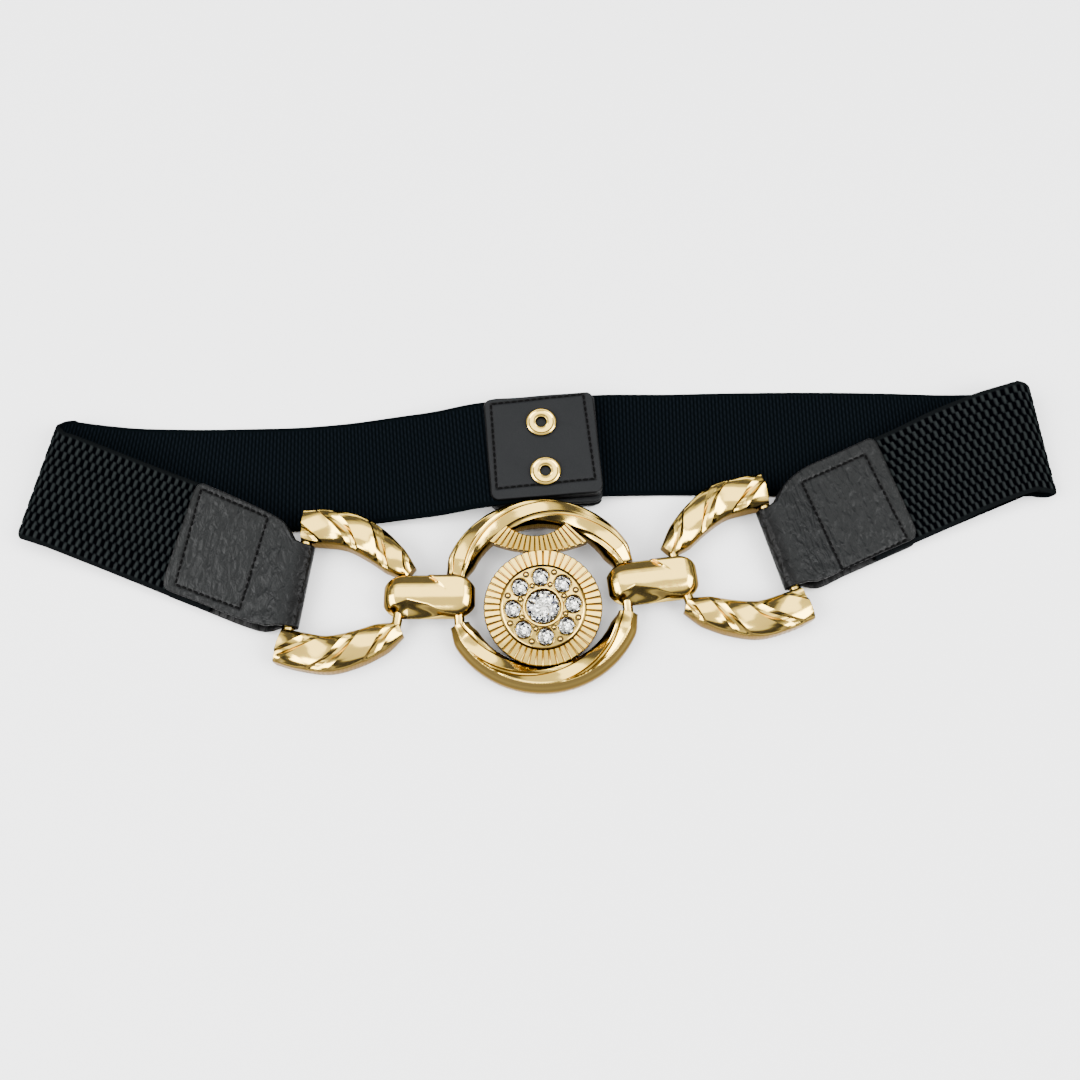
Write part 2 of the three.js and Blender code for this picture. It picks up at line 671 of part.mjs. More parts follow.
// Links lean on the webbing behind them: the far arm is higher than the near one
const links = {
  left: { x: -84.1, y: -18.3, heading: -8.2, rows: leftTab },
  right: { x: 83.8, y: -4.3, heading: 197, rows: rightTab },
};
for (const [side, link] of Object.entries(links)) {
  const lean = side === 'left' ? LINK_LEAN : -LINK_LEAN;
  const holder = new THREE.Group();
  holder.position.set(link.x, link.y, LINK_LIFT);
  holder.rotation.set(radians(lean), 0, radians(link.heading), 'ZYX');
  holder.add(piece(`horseshoe_link_${side}`, horseshoeLink(), finish.gold));
  belt.add(holder);
  holder.updateMatrixWorld(true);
  const toward = (x, y, z) => new THREE.Vector3(x, y, z).transformDirection(holder.matrixWorld);
  const flip = side === 'left' ? 1 : -1;
  const bar = {
    centre: holder.localToWorld(new THREE.Vector3(LINK_BAR_AT, 0, LINK_CORE)),
    away: toward(1, 0, 0),
    up: toward(0, 0, 1),
    across: toward(0, flip, 0),
  };
  belt.add(piece(`front_tab_${side}`, foldedTab(link.rows, bar), finish.leather));
}

// Connectors hang level between a link's neck and the ring's neck
const connectors = {
  left: { x: -37.2, y: -23, z: 6.6, heading: -0.6, lean: 4, pitch: -3.4 },
  right: { x: 38.1, y: -17.4, z: 6.7, heading: 8.5, lean: 4, pitch: 4.2 },
};
for (const [side, place] of Object.entries(connectors)) {
  const mesh = piece(`connector_${side}`, connector(), finish.gold);
  mesh.position.set(place.x, place.y, place.z);
  mesh.rotation.set(radians(place.lean), radians(place.pitch), radians(place.heading), 'ZYX');
  belt.add(mesh);
}

// The ring leans back on the outer tab, with its front edge on the table
const RING_LEAN = 5.4;
const ring = new THREE.Group();
ring.position.set(RING_CENTRE[0], RING_CENTRE[1], RING_OUTER * Math.sin(radians(RING_LEAN)) + 0.1);
ring.rotation.x = radians(RING_LEAN);
ring.add(piece('centre_ring', centreRing(), finish.gold));
const medallion = new THREE.Group();
medallion.position.set(RIM_AT[0], RIM_AT[1], 0);
medallion.add(piece('stone_disc', stoneDisc(), finish.gold));
medallion.add(piece('stone_centre', cutStone(STONE_CENTRE, 16), finish.stone));
for (let k = 0; k < STONE_COUNT; k += 1) {
  const stone = piece(`stone_${k + 1}`, cutStone(STONE_SMALL, 8), finish.stone);
  stone.position.set(stonePlace(k).x, stonePlace(k).y, 0);
  medallion.add(stone);
}
ring.add(medallion);
belt.add(ring);

// The origin is the middle of the whole belt, on the table
const extent = new THREE.Box3().setFromObject(belt);
belt.position.set(-(extent.min.x + extent.max.x) / 2, -(extent.min.y + extent.max.y) / 2, -extent.min.z);

export default belt;
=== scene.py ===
import math

import bpy
import numpy as np
from mathutils import Euler, Matrix, Vector


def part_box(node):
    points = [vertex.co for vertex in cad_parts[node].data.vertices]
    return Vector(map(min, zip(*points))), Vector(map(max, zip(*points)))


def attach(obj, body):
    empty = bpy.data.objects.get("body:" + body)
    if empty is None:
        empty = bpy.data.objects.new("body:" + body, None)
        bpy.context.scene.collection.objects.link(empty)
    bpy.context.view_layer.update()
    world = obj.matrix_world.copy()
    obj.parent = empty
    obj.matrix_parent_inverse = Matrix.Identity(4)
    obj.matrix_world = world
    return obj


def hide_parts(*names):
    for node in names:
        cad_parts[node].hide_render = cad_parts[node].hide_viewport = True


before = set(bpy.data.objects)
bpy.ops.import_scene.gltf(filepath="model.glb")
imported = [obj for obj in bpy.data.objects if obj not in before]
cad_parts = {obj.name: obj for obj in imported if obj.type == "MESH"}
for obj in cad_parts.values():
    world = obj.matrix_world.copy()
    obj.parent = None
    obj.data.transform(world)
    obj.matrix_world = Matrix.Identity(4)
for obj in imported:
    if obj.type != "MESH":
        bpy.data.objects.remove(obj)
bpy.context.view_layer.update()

# Where things are
# Sizes are in millimetres on the belt's own plan, whose origin is near the middle of the ring's top.
# The upper press stud says how far that plan lies from the frame's origin.
MM = 0.001
STUDS = [(0.4, 40.1), (1.9, 21.5)]
stud_low, stud_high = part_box("press_stud_1")
PLAN_ORIGIN = np.array([
    (stud_low.x + stud_high.x) / 2 - STUDS[0][0] * MM,
    (stud_low.y + stud_high.y) / 2 - STUDS[0][1] * MM,
    stud_low.z,
])


def in_frame(points):
    """Points of the plan, in millimetres, as points of the frame, in metres."""
    return np.asarray(points) * MM + PLAN_ORIGIN


# Elastic webbing
# Knitted black polyester over rubber threads, about 40 mm wide. Each half runs from the fastening
# at the back, round the side, to the leather tab in front. Its outer face has staggered raised
# grains, its inner face fine ribs, and its long edges a smooth selvedge.
BAND_WIDTH = 39.5
BAND_THICKNESS = 1.6
MOST_SKEW = 1.03
TURN_BULGE = 6.2
BACK_TOP = 8.25
BACK_MIDDLE = 3.65
ON_TABLE = BAND_THICKNESS / 2
BACK_STEPS = 260
TURN_STEPS = 60
FRONT_STEPS = 140
# Each row: middle x and y, direction across in degrees, and where the strip doesn't lie on the table
# the heights of its near and its far edge
BANDS = {
    "left": {
        "back": [
            (-8, 30.4, 95.5, BACK_TOP, BACK_TOP), (-21, 28.8, 96.5, BACK_TOP, BACK_TOP),
            (-36, 26.6, 96.5, 6, 6), (-51, 25.7, 96, 3, 3), (-66, 24.3, 95, 1.2, 1.2), (-84, 22.8, 93),
            (-102, 22.2, 91), (-122, 21.9, 88), (-143, 22.3, 85), (-157, 23.2, 82, ON_TABLE, 1.6),
            (-168, 24.3, 79, ON_TABLE, 2.6),
        ],
        "front": [
            (-168.8, 16, 73.6, 6.5, 13), (-154, 10.4, 73.6, 4.8, 12), (-139, 4.7, 73.8, 3.6, 10.6),
            (-122.9, -1.4, 73.9, 3, 9.5), (-107, -8, 76, 3.2, 8.6),
        ],
        "outwards": (-0.985, 0.17, 0),
    },
    "right": {
        "back": [
            (7, 33.6, 92, BACK_MIDDLE, BACK_MIDDLE), (21, 34.6, 92, BACK_MIDDLE, BACK_MIDDLE),
            (33, 35.6, 90.5, 2, 2), (47, 36.2, 90), (72, 36.8, 90.5), (98, 37, 90.5), (123, 36.7, 91),
            (144, 36, 94), (159, 35.7, 98, ON_TABLE, 1.6), (171, 35.8, 100, ON_TABLE, 2.4),
        ],
        "front": [
            (170.6, 35.6, 98, 6.3, 12.4), (159.4, 32.2, 103, 5.2, 11.6), (146.4, 27.1, 105.5, 4.2, 10),
            (132.8, 20.7, 108, 3.5, 8.2), (123.5, 16.7, 110, 3.1, 7), (109, 10, 109, 3.3, 6.8),
        ],
        "outwards": (0.99, -0.1, 0),
    },
}


def smooth_line(points, steps, evenness=0.0):
    """A smooth line through points, sampled at steps + 1 places; it runs straight out at its ends."""
    points = np.asarray(points, float)
    ends = np.array([2 * points[0] - points[1], *points, 2 * points[-1] - points[-2]])
    line = []
    for t in np.linspace(0, len(points) - 1, steps + 1):
        k = min(int(t), len(points) - 2)
        w = t - k
        a, b, c, d = ends[k:k + 4]
        gaps = [max(np.dot(q - p, q - p), 1e-9) ** evenness for p, q in ((a, b), (b, c), (c, d))]
        leave = (b - a) / gaps[0] - (c - a) / (gaps[0] + gaps[1]) + (c - b) / gaps[1]
        arrive = (c - b) / gaps[1] - (d - b) / (gaps[1] + gaps[2]) + (d - c) / gaps[2]
        leave, arrive = leave * gaps[1], arrive * gaps[1]
        line.append(b + leave * w + (-3 * b + 3 * c - 2 * leave - arrive) * w ** 2
                    + (2 * b - 2 * c + leave + arrive) * w ** 3)
    return np.array(line)


def strip_edges(row, half=BAND_WIDTH / 2):
    """The near and the far edge of a strip where a row puts it."""
    x, y, across, low, high = (*row, ON_TABLE, ON_TABLE)[:5]
    rise = (high - low) / 2
    flat = math.sqrt(half ** 2 - rise ** 2)
    across = math.radians(across)
    reach = np.array([math.cos(across) * flat, math.sin(across) * flat, rise])
    middle = np.array([x, y, (low + high) / 2])
    return middle - reach, middle + reach


def band_edges(half):
    """The near and the far edge line of one half of the webbing, from the fastening to its tab."""
    lines = []
    for side in (0, 1):
        back = smooth_line([strip_edges(row)[side] for row in half["back"]], BACK_STEPS)
        front = smooth_line([strip_edges(row)[side] for row in half["front"]], FRONT_STEPS)
        back[:, 2] = np.maximum(back[:, 2], ON_TABLE)
        start, end = back[-1], front[0]
        angle = np.linspace(0, math.pi, TURN_STEPS)[1:-1, None]
        turn = ((start + end) / 2 + (start - end) / 2 * np.cos(angle)
                + np.array(half["outwards"]) * TURN_BULGE * np.sin(angle))
        lines.append(np.concatenate([back, turn, front]))
    return lines


def even_stations(near, far, count, half_width=None):
    """Evenly spaced stations along a strip: middles, unit lines across, unit face normals, reaches."""
    middle = (near + far) / 2
    travelled = np.concatenate([[0], np.cumsum(np.linalg.norm(np.diff(middle, axis=0), axis=1))])
    places = np.linspace(0, travelled[-1], count + 1)

    def resampled(line):
        return np.stack([np.interp(places, travelled, line[:, i]) for i in range(3)], axis=1)

    near, far = resampled(near), resampled(far)
    middle = (near + far) / 2
    across = (far - near) / np.linalg.norm(far - near, axis=1)[:, None]
    travel = np.gradient(middle, axis=0)
    travel /= np.linalg.norm(travel, axis=1)[:, None]
    face = np.cross(across, travel)
    slant = np.linalg.norm(face, axis=1)
    reach = np.linalg.norm(far - near, axis=1) / 2
    if half_width:
        reach = half_width * np.minimum(1 / slant, MOST_SKEW)
    return middle, across, face / slant[:, None], reach, travelled[-1]


def paint(piece, tone):
    """Sets the tone of each point, from 0 for the material's first colour to 1 for its second."""
    tones = piece.data.attributes.get("tone") or piece.data.attributes.new("tone", "FLOAT", "POINT")
    tones.data.foreach_set("value", np.full(len(piece.data.vertices), tone, np.float32))


def mapped_grid(name, columns, rows, place, size):
    """A grid of faces, columns by rows. For a and b from 0 to 1, place(a, b) gives its points and their
    tones. Its UV map runs over size, in metres."""
    bpy.ops.object.select_all(action="DESELECT")
    bpy.ops.mesh.primitive_grid_add(x_subdivisions=columns, y_subdivisions=rows, size=1)
    grid = bpy.context.object
    grid.name = name
    grid.data.name = name
    flat = np.empty(len(grid.data.vertices) * 3)
    grid.data.vertices.foreach_get("co", flat)
    flat = flat.reshape(-1, 3) + 0.5
    points, tone = place(flat[:, 0], flat[:, 1])
    grid.data.vertices.foreach_set("co", in_frame(points).ravel())
    paint(grid, tone)
    spread = np.empty(len(grid.data.loops) * 2)
    grid.data.uv_layers[0].data.foreach_get("uv", spread)
    spread = spread.reshape(-1, 2) * np.array(size)
    grid.data.uv_layers[0].data.foreach_set("uv", spread.ravel())
    return grid


def face_shares(piece, axis, size):
    """Where each face of a mapped grid lies along one axis of its UV map, as a share of the map's size."""
    uv = piece.data.uv_layers[0].data
    faces = piece.data.polygons
    return [sum(uv[i].uv[axis] for i in face.loop_indices) / face.loop_total / size for face in faces]


def along_section(section, share):
    """The columns of a section's table after the first, at shares of the way round it."""
    return [np.interp(share, section[:, 0], column) for column in section.T[1:]]


def pick(pieces):
    """Selects these pieces alone and makes the first one active."""
    bpy.ops.object.select_all(action="DESELECT")
    for piece in pieces:
        piece.select_set(True)
    bpy.context.view_layer.objects.active = pieces[0]


def closed_skin(piece, sharp_degrees=30):
    """Welds a mapped grid's seam, fills its open ends, points its faces outwards and shades it."""
    pick([piece])
    bpy.ops.object.mode_set(mode="EDIT")
    bpy.ops.mesh.select_all(action="SELECT")
    bpy.ops.mesh.remove_doubles(threshold=1e-6)
    bpy.ops.mesh.fill_holes(sides=0)
    bpy.ops.mesh.select_all(action="SELECT")
    bpy.ops.mesh.normals_make_consistent(inside=False)
    bpy.ops.object.mode_set(mode="OBJECT")
    bpy.ops.object.shade_smooth_by_angle(angle=math.radians(sharp_degrees))
    return piece


def linear(code):
    """An sRGB hex colour as linear red, green, blue and alpha."""
    parts = [int(code[i:i + 2], 16) / 255 for i in (1, 3, 5)]
    return (*[c / 12.92 if c <= 0.04045 else ((c + 0.055) / 1.055) ** 2.4 for c in parts], 1)


def add_node(owner, kind, inputs=None, **settings):
    """Adds a shader node; inputs gives a value or another node's socket for each named input."""
    made = owner.node_tree.nodes.new("ShaderNode" + kind)
    for key, value in settings.items():
        setattr(made, key, value)
    for key, value in (inputs or {}).items():
        if isinstance(value, bpy.types.NodeSocket):
            owner.node_tree.links.new(value, made.inputs[key])
        else:
            made.inputs[key].default_value = value
    return made


def new_material(name, colour, roughness, metallic=0.0, **sockets):
    """A material with a plain Principled shader, to be given its pattern after."""
    material = bpy.data.materials.new(name)
    material.use_nodes = True
    shader = material.node_tree.nodes["Principled BSDF"]
    shader.inputs["Base Color"].default_value = linear(colour)
    shader.inputs["Roughness"].default_value = roughness
    shader.inputs["Metallic"].default_value = metallic
    for key, value in sockets.items():
        shader.inputs[key.replace("_", " ")].default_value = value
    return material, shader


def two_colours(material, shader, first, second):
    """Makes a material go from its first colour to its second with a piece's tone."""
    tone = add_node(material, "Attribute", attribute_name="tone")
    mixed = add_node(material, "Mix", {0: tone.outputs["Fac"], 6: linear(first), 7: linear(second)},
                     data_type="RGBA")
    material.node_tree.links.new(mixed.outputs[2], shader.inputs["Base Color"])


# Polyester yarn has a soft sheen and no gloss. The colour goes from painted shade in the gaps to the yarn's
# own colour on top of the grains, by their relief.
def knitted_webbing(name, gap_shade, crest):
    material, shader = new_material(name, crest, 0.9, Specular_IOR_Level=0.0)
    two_colours(material, shader, gap_shade, crest)
    yarn = add_node(material, "UVMap", uv_map="UVMap")
    fibres = add_node(material, "TexNoise", {"Vector": yarn.outputs["UV"], "Scale": 2500, "Detail": 2})
    bump = add_node(material, "Bump", {
        "Height": fibres.outputs["Fac"], "Strength": 0.35, "Distance": 0.0002,
    })
    material.node_tree.links.new(bump.outputs["Normal"], shader.inputs["Normal"])
    return material


# The first colour is painted shade for the gaps between grains or ribs, the second the yarn's own colour on
# top
outer_knit = knitted_webbing("black knitted webbing, outer face", "#010102", "#191c1c")
inner_knit = knitted_webbing("black knitted webbing, inner face", "#010202", "#0a0e12")

GRAIN_PITCH = 2.7
GRAIN_ROW = 2.9
GRAIN_WIDTH = 1.15
GRAIN_LENGTH = 3.0
GRAIN_TILT = 0.12
RIB_PITCH = 1.3
SELVEDGE = 1.3
RELIEF_DEPTH = 0.34
RIB_DEPTH = 0.12
# A little over 1, which flattens the grains' tops
GRAIN_CROWN = 1.15
RIB_EVENNESS = 0.6
SELVEDGE_RELIEF = 0.25
SELVEDGE_THIN = 0.45
SELVEDGE_DEPTH = 0.4
BAND_STATIONS = 640
BAND_DIVISIONS = 66


def grain_height(along, across):
    """From 0 between the grains to 1 on top of one."""
    row = np.round(across / GRAIN_ROW)
    up = across - row * GRAIN_ROW
    shifted = along - GRAIN_TILT * up + np.where(row % 2 == 0, 0, GRAIN_PITCH / 2)
    side = shifted - np.round(shifted / GRAIN_PITCH) * GRAIN_PITCH
    past = np.maximum(np.abs(up) - (GRAIN_LENGTH - GRAIN_WIDTH) / 2, 0)
    away = np.hypot(side, past) / (GRAIN_WIDTH / 2)
    return np.sqrt(np.clip(GRAIN_CROWN - away ** 2, 0, 1))


def rib_height(along, across):
    """From 0 between the fine ribs to 1 on top of one, with a stagger from row to row."""
    ribs = 0.5 + 0.5 * np.cos(2 * math.pi * along / RIB_PITCH)
    rows = 0.5 + 0.5 * np.cos(2 * math.pi * (across / GRAIN_ROW + 0.5 * np.round(along / RIB_PITCH)))
    return ribs * (RIB_EVENNESS + (1 - RIB_EVENNESS) * rows)


def webbing(side):
    """One half of the webbing, with its grains, ribs and selvedges."""
    near, far = band_edges(BANDS[side])
    middle, across, face, reach, length = even_stations(near, far, BAND_STATIONS, BAND_WIDTH / 2)
    outer_side = 1 if side == "right" else -1

    def place(a, b):
        station = np.rint(b * BAND_STATIONS).astype(int)
        loop = a * 2
        upper = loop <= 1
        v = np.clip(np.where(upper, 2 * loop - 1, 3 - 2 * loop), -1, 1)
        out = v * BAND_WIDTH / 2
        edge = BAND_WIDTH / 2 - np.abs(out)
        inset = np.clip(edge / SELVEDGE, 0, 1)
        along = b * length
        outer_face = upper == (outer_side > 0)
        relief = np.where(outer_face, grain_height(along, out), rib_height(along, out))
        relief = np.where(inset < 1, SELVEDGE_RELIEF, relief)
        depth = np.where(outer_face, RELIEF_DEPTH, RIB_DEPTH) * (1 - relief)
        rounding = np.sqrt(np.clip(1 - (1 - inset) ** 2, 0, 1))
        thick = (BAND_THICKNESS / 2) * (SELVEDGE_THIN + (1 - SELVEDGE_THIN) * rounding)
        thick -= depth * np.where(inset < 1, SELVEDGE_DEPTH, 1)
        w = np.where(upper, thick, -thick)
        # The relief is also the tone, so the gaps between grains and ribs get painted shade
        return (middle[station] + across[station] * (v * reach[station])[:, None]
                + face[station] * w[:, None]), relief

    size = (2 * BAND_WIDTH * MM, length * MM)
    band = mapped_grid(f"webbing_{side}", 2 * BAND_DIVISIONS, BAND_STATIONS, place, size)
    band.data.materials.append(outer_knit)
    band.data.materials.append(inner_knit)
    for polygon, share in zip(band.data.polygons, face_shares(band, 0, size[0])):
        polygon.material_index = 0 if (share < 0.5) == (outer_side > 0) else 1
    closed_skin(band, 60)
    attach(band, "root")
    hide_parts(f"elastic_band_{side}")


for side in BANDS:
    webbing(side)

# Leather tabs at the back
# Bonded leather, charcoal with a soft shine and black cut edges. Each tab is doubled over one end of
# the webbing and stitched round with black thread. The upper tab lies on the lower one.
LEATHER = 1.1
TAB_THICKNESS = 4.3
TAB_EDGE = 0.45
TAB_WIDTH = 39
TAB_CORNER = 3
OUTER_TAB_BASE = 1.5
INNER_TAB_BASE = 6.1
# The mouth is the side that the pocket opens to, the depth how far it goes in
BACK_TABS = {
    "outer": {"at": (1.2, 32), "turn": 3.5, "tall": 42, "base": OUTER_TAB_BASE, "mouth": 1, "depth": 15},
    "inner": {"at": (0.9, 31.6), "turn": 5, "tall": 38.6, "base": INNER_TAB_BASE, "mouth": -1, "depth": 14},
}
BACK_WAY_ROUND = 2.4 * TAB_WIDTH
BACK_STITCHES = [(-17.4, 47.4), (15.3, 51.4), (19.1, 18.9), (-14.9, 15.2)]
GROOVE_WIDTH = 0.5
GROOVE_DEPTH = 0.3
# How dark the stitch groove is painted, as shade in the groove
STITCH_GROOVE_SHADE = 0.9
BACK_EDGE_BLACK = 1.3
PUFF = 0.12
# Radians a millimetre, along each side
PUFF_WAVES = (0.33, 0.27)


# Charcoal leather: soft highlights on shallow creases, a fine pebble, black dye on the cut edges, and painted
# shade in the stitch grooves and at the fold.
def leather(name, colour, creases_per_metre, crease_strength, roughness):
    material, shader = new_material(name, colour, roughness, Specular_IOR_Level=0.09)
    two_colours(material, shader, colour, "#020202")
    place = add_node(material, "UVMap", uv_map="UVMap")
    stretched = add_node(material, "Mapping", {"Vector": place.outputs["UV"], "Scale": creases_per_metre})
    creases = add_node(material, "TexNoise", {
        "Vector": stretched.outputs["Vector"], "Scale": 1, "Detail": 3, "Distortion": 0.6,
    })
    pebble = add_node(material, "TexVoronoi", {"Vector": place.outputs["UV"], "Scale": 1500})
    grained = add_node(material, "Bump", {
        "Height": pebble.outputs["Distance"], "Strength": 0.25, "Distance": 0.0001,
    })
    creased = add_node(material, "Bump", {
        "Height": creases.outputs["Fac"], "Strength": crease_strength, "Distance": 0.0009,
        "Normal": grained.outputs["Normal"],
    })
    material.node_tree.links.new(creased.outputs["Normal"], shader.inputs["Normal"])
    return material


smooth_leather = leather("charcoal leather, smooth", "#131415", (120, 120, 1), 0.3, 0.5)
creased_leather = leather("charcoal leather, creased", "#121313", (110, 420, 1), 1.0, 0.33)


def placed(points, turn, origin):
    """Points of a piece's own plan, turned by a matrix and moved to an origin on the belt's plan."""
    return np.asarray(points) @ np.array(turn).T + np.array(origin)


def distance_to_line(x, y, corners):
    """How far points of the plan are from a closed line through corners."""
    nearest = np.full(len(x), 1e9)
    points = np.stack([x, y], axis=1)
    for start, end in zip(corners, corners[1:] + corners[:1]):
        start, run = np.array(start, float), np.subtract(end, start)
        share = np.clip((points - start) @ run / (run @ run), 0, 1)
        nearest = np.minimum(nearest, np.linalg.norm(points - start - share[:, None] * run, axis=1))
    return nearest


def end_inset(distance, corner):
    """How far a round corner draws a side in, at a distance from the end."""
    left = np.clip(corner - distance, 0, corner)
    return corner - np.sqrt(corner ** 2 - left ** 2)


def back_tab(name, tab, columns, rows):
    """A doubled square of leather with a pocket for the webbing's end."""
    half = TAB_WIDTH / 2
    top, edge = TAB_THICKNESS, TAB_EDGE
    end = half - tab["depth"]
    # Shares of the way round the section, from the pocket's mouth over the top, with places and heights
    section = np.array([
        (0, half, top - LEATHER), (0.02, half, top - edge), (0.03, half - edge, top),
        (0.79, edge - half, top), (0.80, -half, top - edge), (0.84, -half, edge),
        (0.85, edge - half, 0), (0.92, half - edge, 0), (0.93, half, edge), (0.95, half, LEATHER),
        (0.98, end, LEATHER), (0.99, end, top - LEATHER), (1, half, top - LEATHER),
    ])
    turn = Matrix.Rotation(math.radians(tab["turn"]), 3, "Z")

    def place(a, b):
        across, height = along_section(section, a)
        along = (b - 0.5) * tab["tall"]
        from_end = tab["tall"] / 2 - np.abs(along)
        across = across * (half - end_inset(from_end, TAB_CORNER)) / half
        worn = np.clip(1 - from_end / edge, 0, 1)
        height = np.where(height > top - LEATHER / 2, height - edge * worn ** 2, height)
        flat = placed(np.stack([tab["mouth"] * across, along, height], axis=1), turn, (*tab["at"], 0))
        groove = np.exp(-(distance_to_line(flat[:, 0], flat[:, 1], BACK_STITCHES) / GROOVE_WIDTH) ** 2)
        on_top = (a > section[2, 0]) & (a < section[3, 0])
        wave = np.sin(flat[:, 0] * PUFF_WAVES[0] + 1) * np.sin(flat[:, 1] * PUFF_WAVES[1])
        flat[:, 2] += tab["base"] + np.where(on_top, PUFF * (wave - 1) - GROOVE_DEPTH * groove, 0)
        # The cut edges are dyed black and the stitch groove gets painted shade
        rim = np.clip(BACK_EDGE_BLACK - np.minimum(half - np.abs(across), from_end) / edge, 0, 1)
        return flat, np.where(on_top, np.maximum(rim, STITCH_GROOVE_SHADE * groove), 1)

    piece = mapped_grid(f"leather_{name}", columns, rows, place, (BACK_WAY_ROUND * MM, tab["tall"] * MM))
    piece.data.materials.append(smooth_leather)
    closed_skin(piece, 40)
    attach(piece, "root")
    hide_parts(f"back_tab_{name}")
    return piece


STITCH_PITCH = 2.3
STITCH_SIZE = (0.95, 0.42, 0.3)
STITCH_LIFT = 0.1
ABOVE_ALL = 40
# Twisted and waxed thread, nearly without shine
black_thread, _ = new_material("black polyester thread", "#020202", 0.7, Specular_IOR_Level=0.05)


def stitching(name, corners, surface):
    """A row of stitches along a closed line, each laid on the leather below it."""
    made = []
    for start, end in zip(corners, corners[1:] + corners[:1]):
        run = np.subtract(end, start)
        count = round(np.linalg.norm(run) / STITCH_PITCH)
        for k in range(count):
            x, y = np.array(start) + run * (k + 0.5) / count
            above = Vector(in_frame((x, y, ABOVE_ALL)))
            hit, spot, _, _ = surface.ray_cast(above, (0, 0, -1))
            if not hit:
                continue
            bpy.ops.mesh.primitive_uv_sphere_add(
                segments=8, ring_count=5, radius=MM, location=spot + Vector((0, 0, STITCH_LIFT * MM)),
                rotation=(0, 0, math.atan2(run[1], run[0])), scale=STITCH_SIZE,
            )
            made.append(bpy.context.object)
    pick(made)
    bpy.ops.object.join()
    row = bpy.context.object
    row.name = name
    row.data.name = name
    bpy.ops.object.transform_apply(location=True, rotation=True, scale=True)
    bpy.ops.object.shade_smooth()
    row.data.materials.append(black_thread)
    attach(row, "root")


back_tab("outer", BACK_TABS["outer"], 100, 70)
upper_tab = back_tab("inner", BACK_TABS["inner"], 170, 130)
stitching("stitches_back", BACK_STITCHES, upper_tab)

# Polished pale gold
# Zinc alloy castings, tumbled and plated with a pale champagne gold. The plate is mirror bright and
# shows the casting's slight waviness, and its glancing reflections are warm. Steep walls, grooves,
# valleys and hollows get painted shade in a dark brown.
EDGE_TINT = (0.85, 0.68, 0.5, 1)


def gold_plate(name, colour, roughness):
    """Polished plate whose colour goes to a dark brown of painted shade with a piece's tone."""
    material, shader = new_material(name, colour, roughness, metallic=1.0, Specular_Tint=EDGE_TINT)
    # The second colour is painted shade
    two_colours(material, shader, colour, "#241d15")
    place = add_node(material, "TexCoord")
    waves = add_node(material, "TexNoise", {"Vector": place.outputs["Object"], "Scale": 220, "Detail": 1})
    bump = add_node(material, "Bump", {
        "Height": waves.outputs["Fac"], "Strength": 0.25, "Distance": 0.0003,
    })
    material.node_tree.links.new(bump.outputs["Normal"], shader.inputs["Normal"])
    return material


polished_gold = gold_plate("polished pale gold plate", "#f4ce66", 0.15)
# Painted shade on steep walls: where the normal's upright part falls below the start, over the depth, darker
# on the far side
WALL_STARTS = 0.8
WALL_DEPTH = 0.35
WALL_SHADE = 3.4
FAR_WALL_SHADE = 0.6


def paint_wall_shade(piece):
    """Adds painted shade to a gold piece where its surface is steep, most on the far side."""
    count = len(piece.data.vertices)
    normals = np.empty(count * 3)
    piece.data.vertices.foreach_get("normal", normals)
    normals = normals.reshape(-1, 3)
    earlier_shade = np.empty(count)
    piece.data.attributes["tone"].data.foreach_get("value", earlier_shade)
    steep = np.clip((WALL_STARTS - normals[:, 2]) / WALL_DEPTH, 0, 1)
    paint(piece, np.maximum(earlier_shade, 1 - np.exp(-steep * (WALL_SHADE + FAR_WALL_SHADE * normals[:, 1]))))


def cast_piece(name, node, parts, sharp_degrees=30):
    """Joins parts that are cast or soldered as one piece, which stands for its CAD node."""
    pick(parts)
    if len(parts) > 1:
        bpy.ops.object.join()
    piece = bpy.context.object
    piece.name = name
    piece.data.name = name
    piece.data.materials.clear()
    piece.data.materials.append(polished_gold)
    # Paints shade on the steep walls
    paint_wall_shade(piece)
    bpy.ops.object.shade_smooth_by_angle(angle=math.radians(sharp_degrees))
    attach(piece, "root")
    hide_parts(node)


# Press studs
# A domed cap under the tabs, a hollow post through them, and on top a rolled flange round a hole painted dark
# as shade.
STUD_SEAT = INNER_TAB_BASE + TAB_THICKNESS + 0.3
STUD_SHADE_RADIUS = 1.85
STUD_PROFILE = [
    (0, 0), (3.2, 0.05), (5.2, 0.35), (6, 0.8), (6, 1.2), (2.3, 1.2), (2.3, STUD_SEAT), (5.1, STUD_SEAT),
    (5.35, STUD_SEAT + 0.25), (5.2, STUD_SEAT + 0.6), (4.7, STUD_SEAT + 0.8), (4.3, STUD_SEAT + 0.72),
    (4, STUD_SEAT + 0.5), (3.4, STUD_SEAT + 0.48), (2.8, STUD_SEAT + 0.55), (2.3, STUD_SEAT + 0.75),
    (2, STUD_SEAT + 0.65), (1.8, STUD_SEAT + 0.3), (1.8, STUD_SEAT - 4), (0, STUD_SEAT - 4),
]


def round_points(share, radius, height):
    """Points at shares of the way round, with their radii and heights."""
    angle = 2 * math.pi * share
    return np.stack([radius * np.cos(angle), radius * np.sin(angle), height], axis=1)


def lathed(name, profile, sides, to_plan):
    """A round piece from its profile of radii and heights, whose ends are on the axis or meet."""
    profile = np.array(profile, float)

    def place(a, b):
        radius, height = profile[np.rint(b * (len(profile) - 1)).astype(int)].T
        return to_plan(round_points(a, radius, height)), 0

    return closed_skin(mapped_grid(name, sides, len(profile) - 1, place, (0.03, 0.02)))


def from_axis(piece, axis):
    """How many millimetres each point of a piece lies from an upright axis through a point of the plan."""
    middle = Vector(in_frame(axis)).xy
    return np.array([(corner.co.xy - middle).length for corner in piece.data.vertices]) / MM


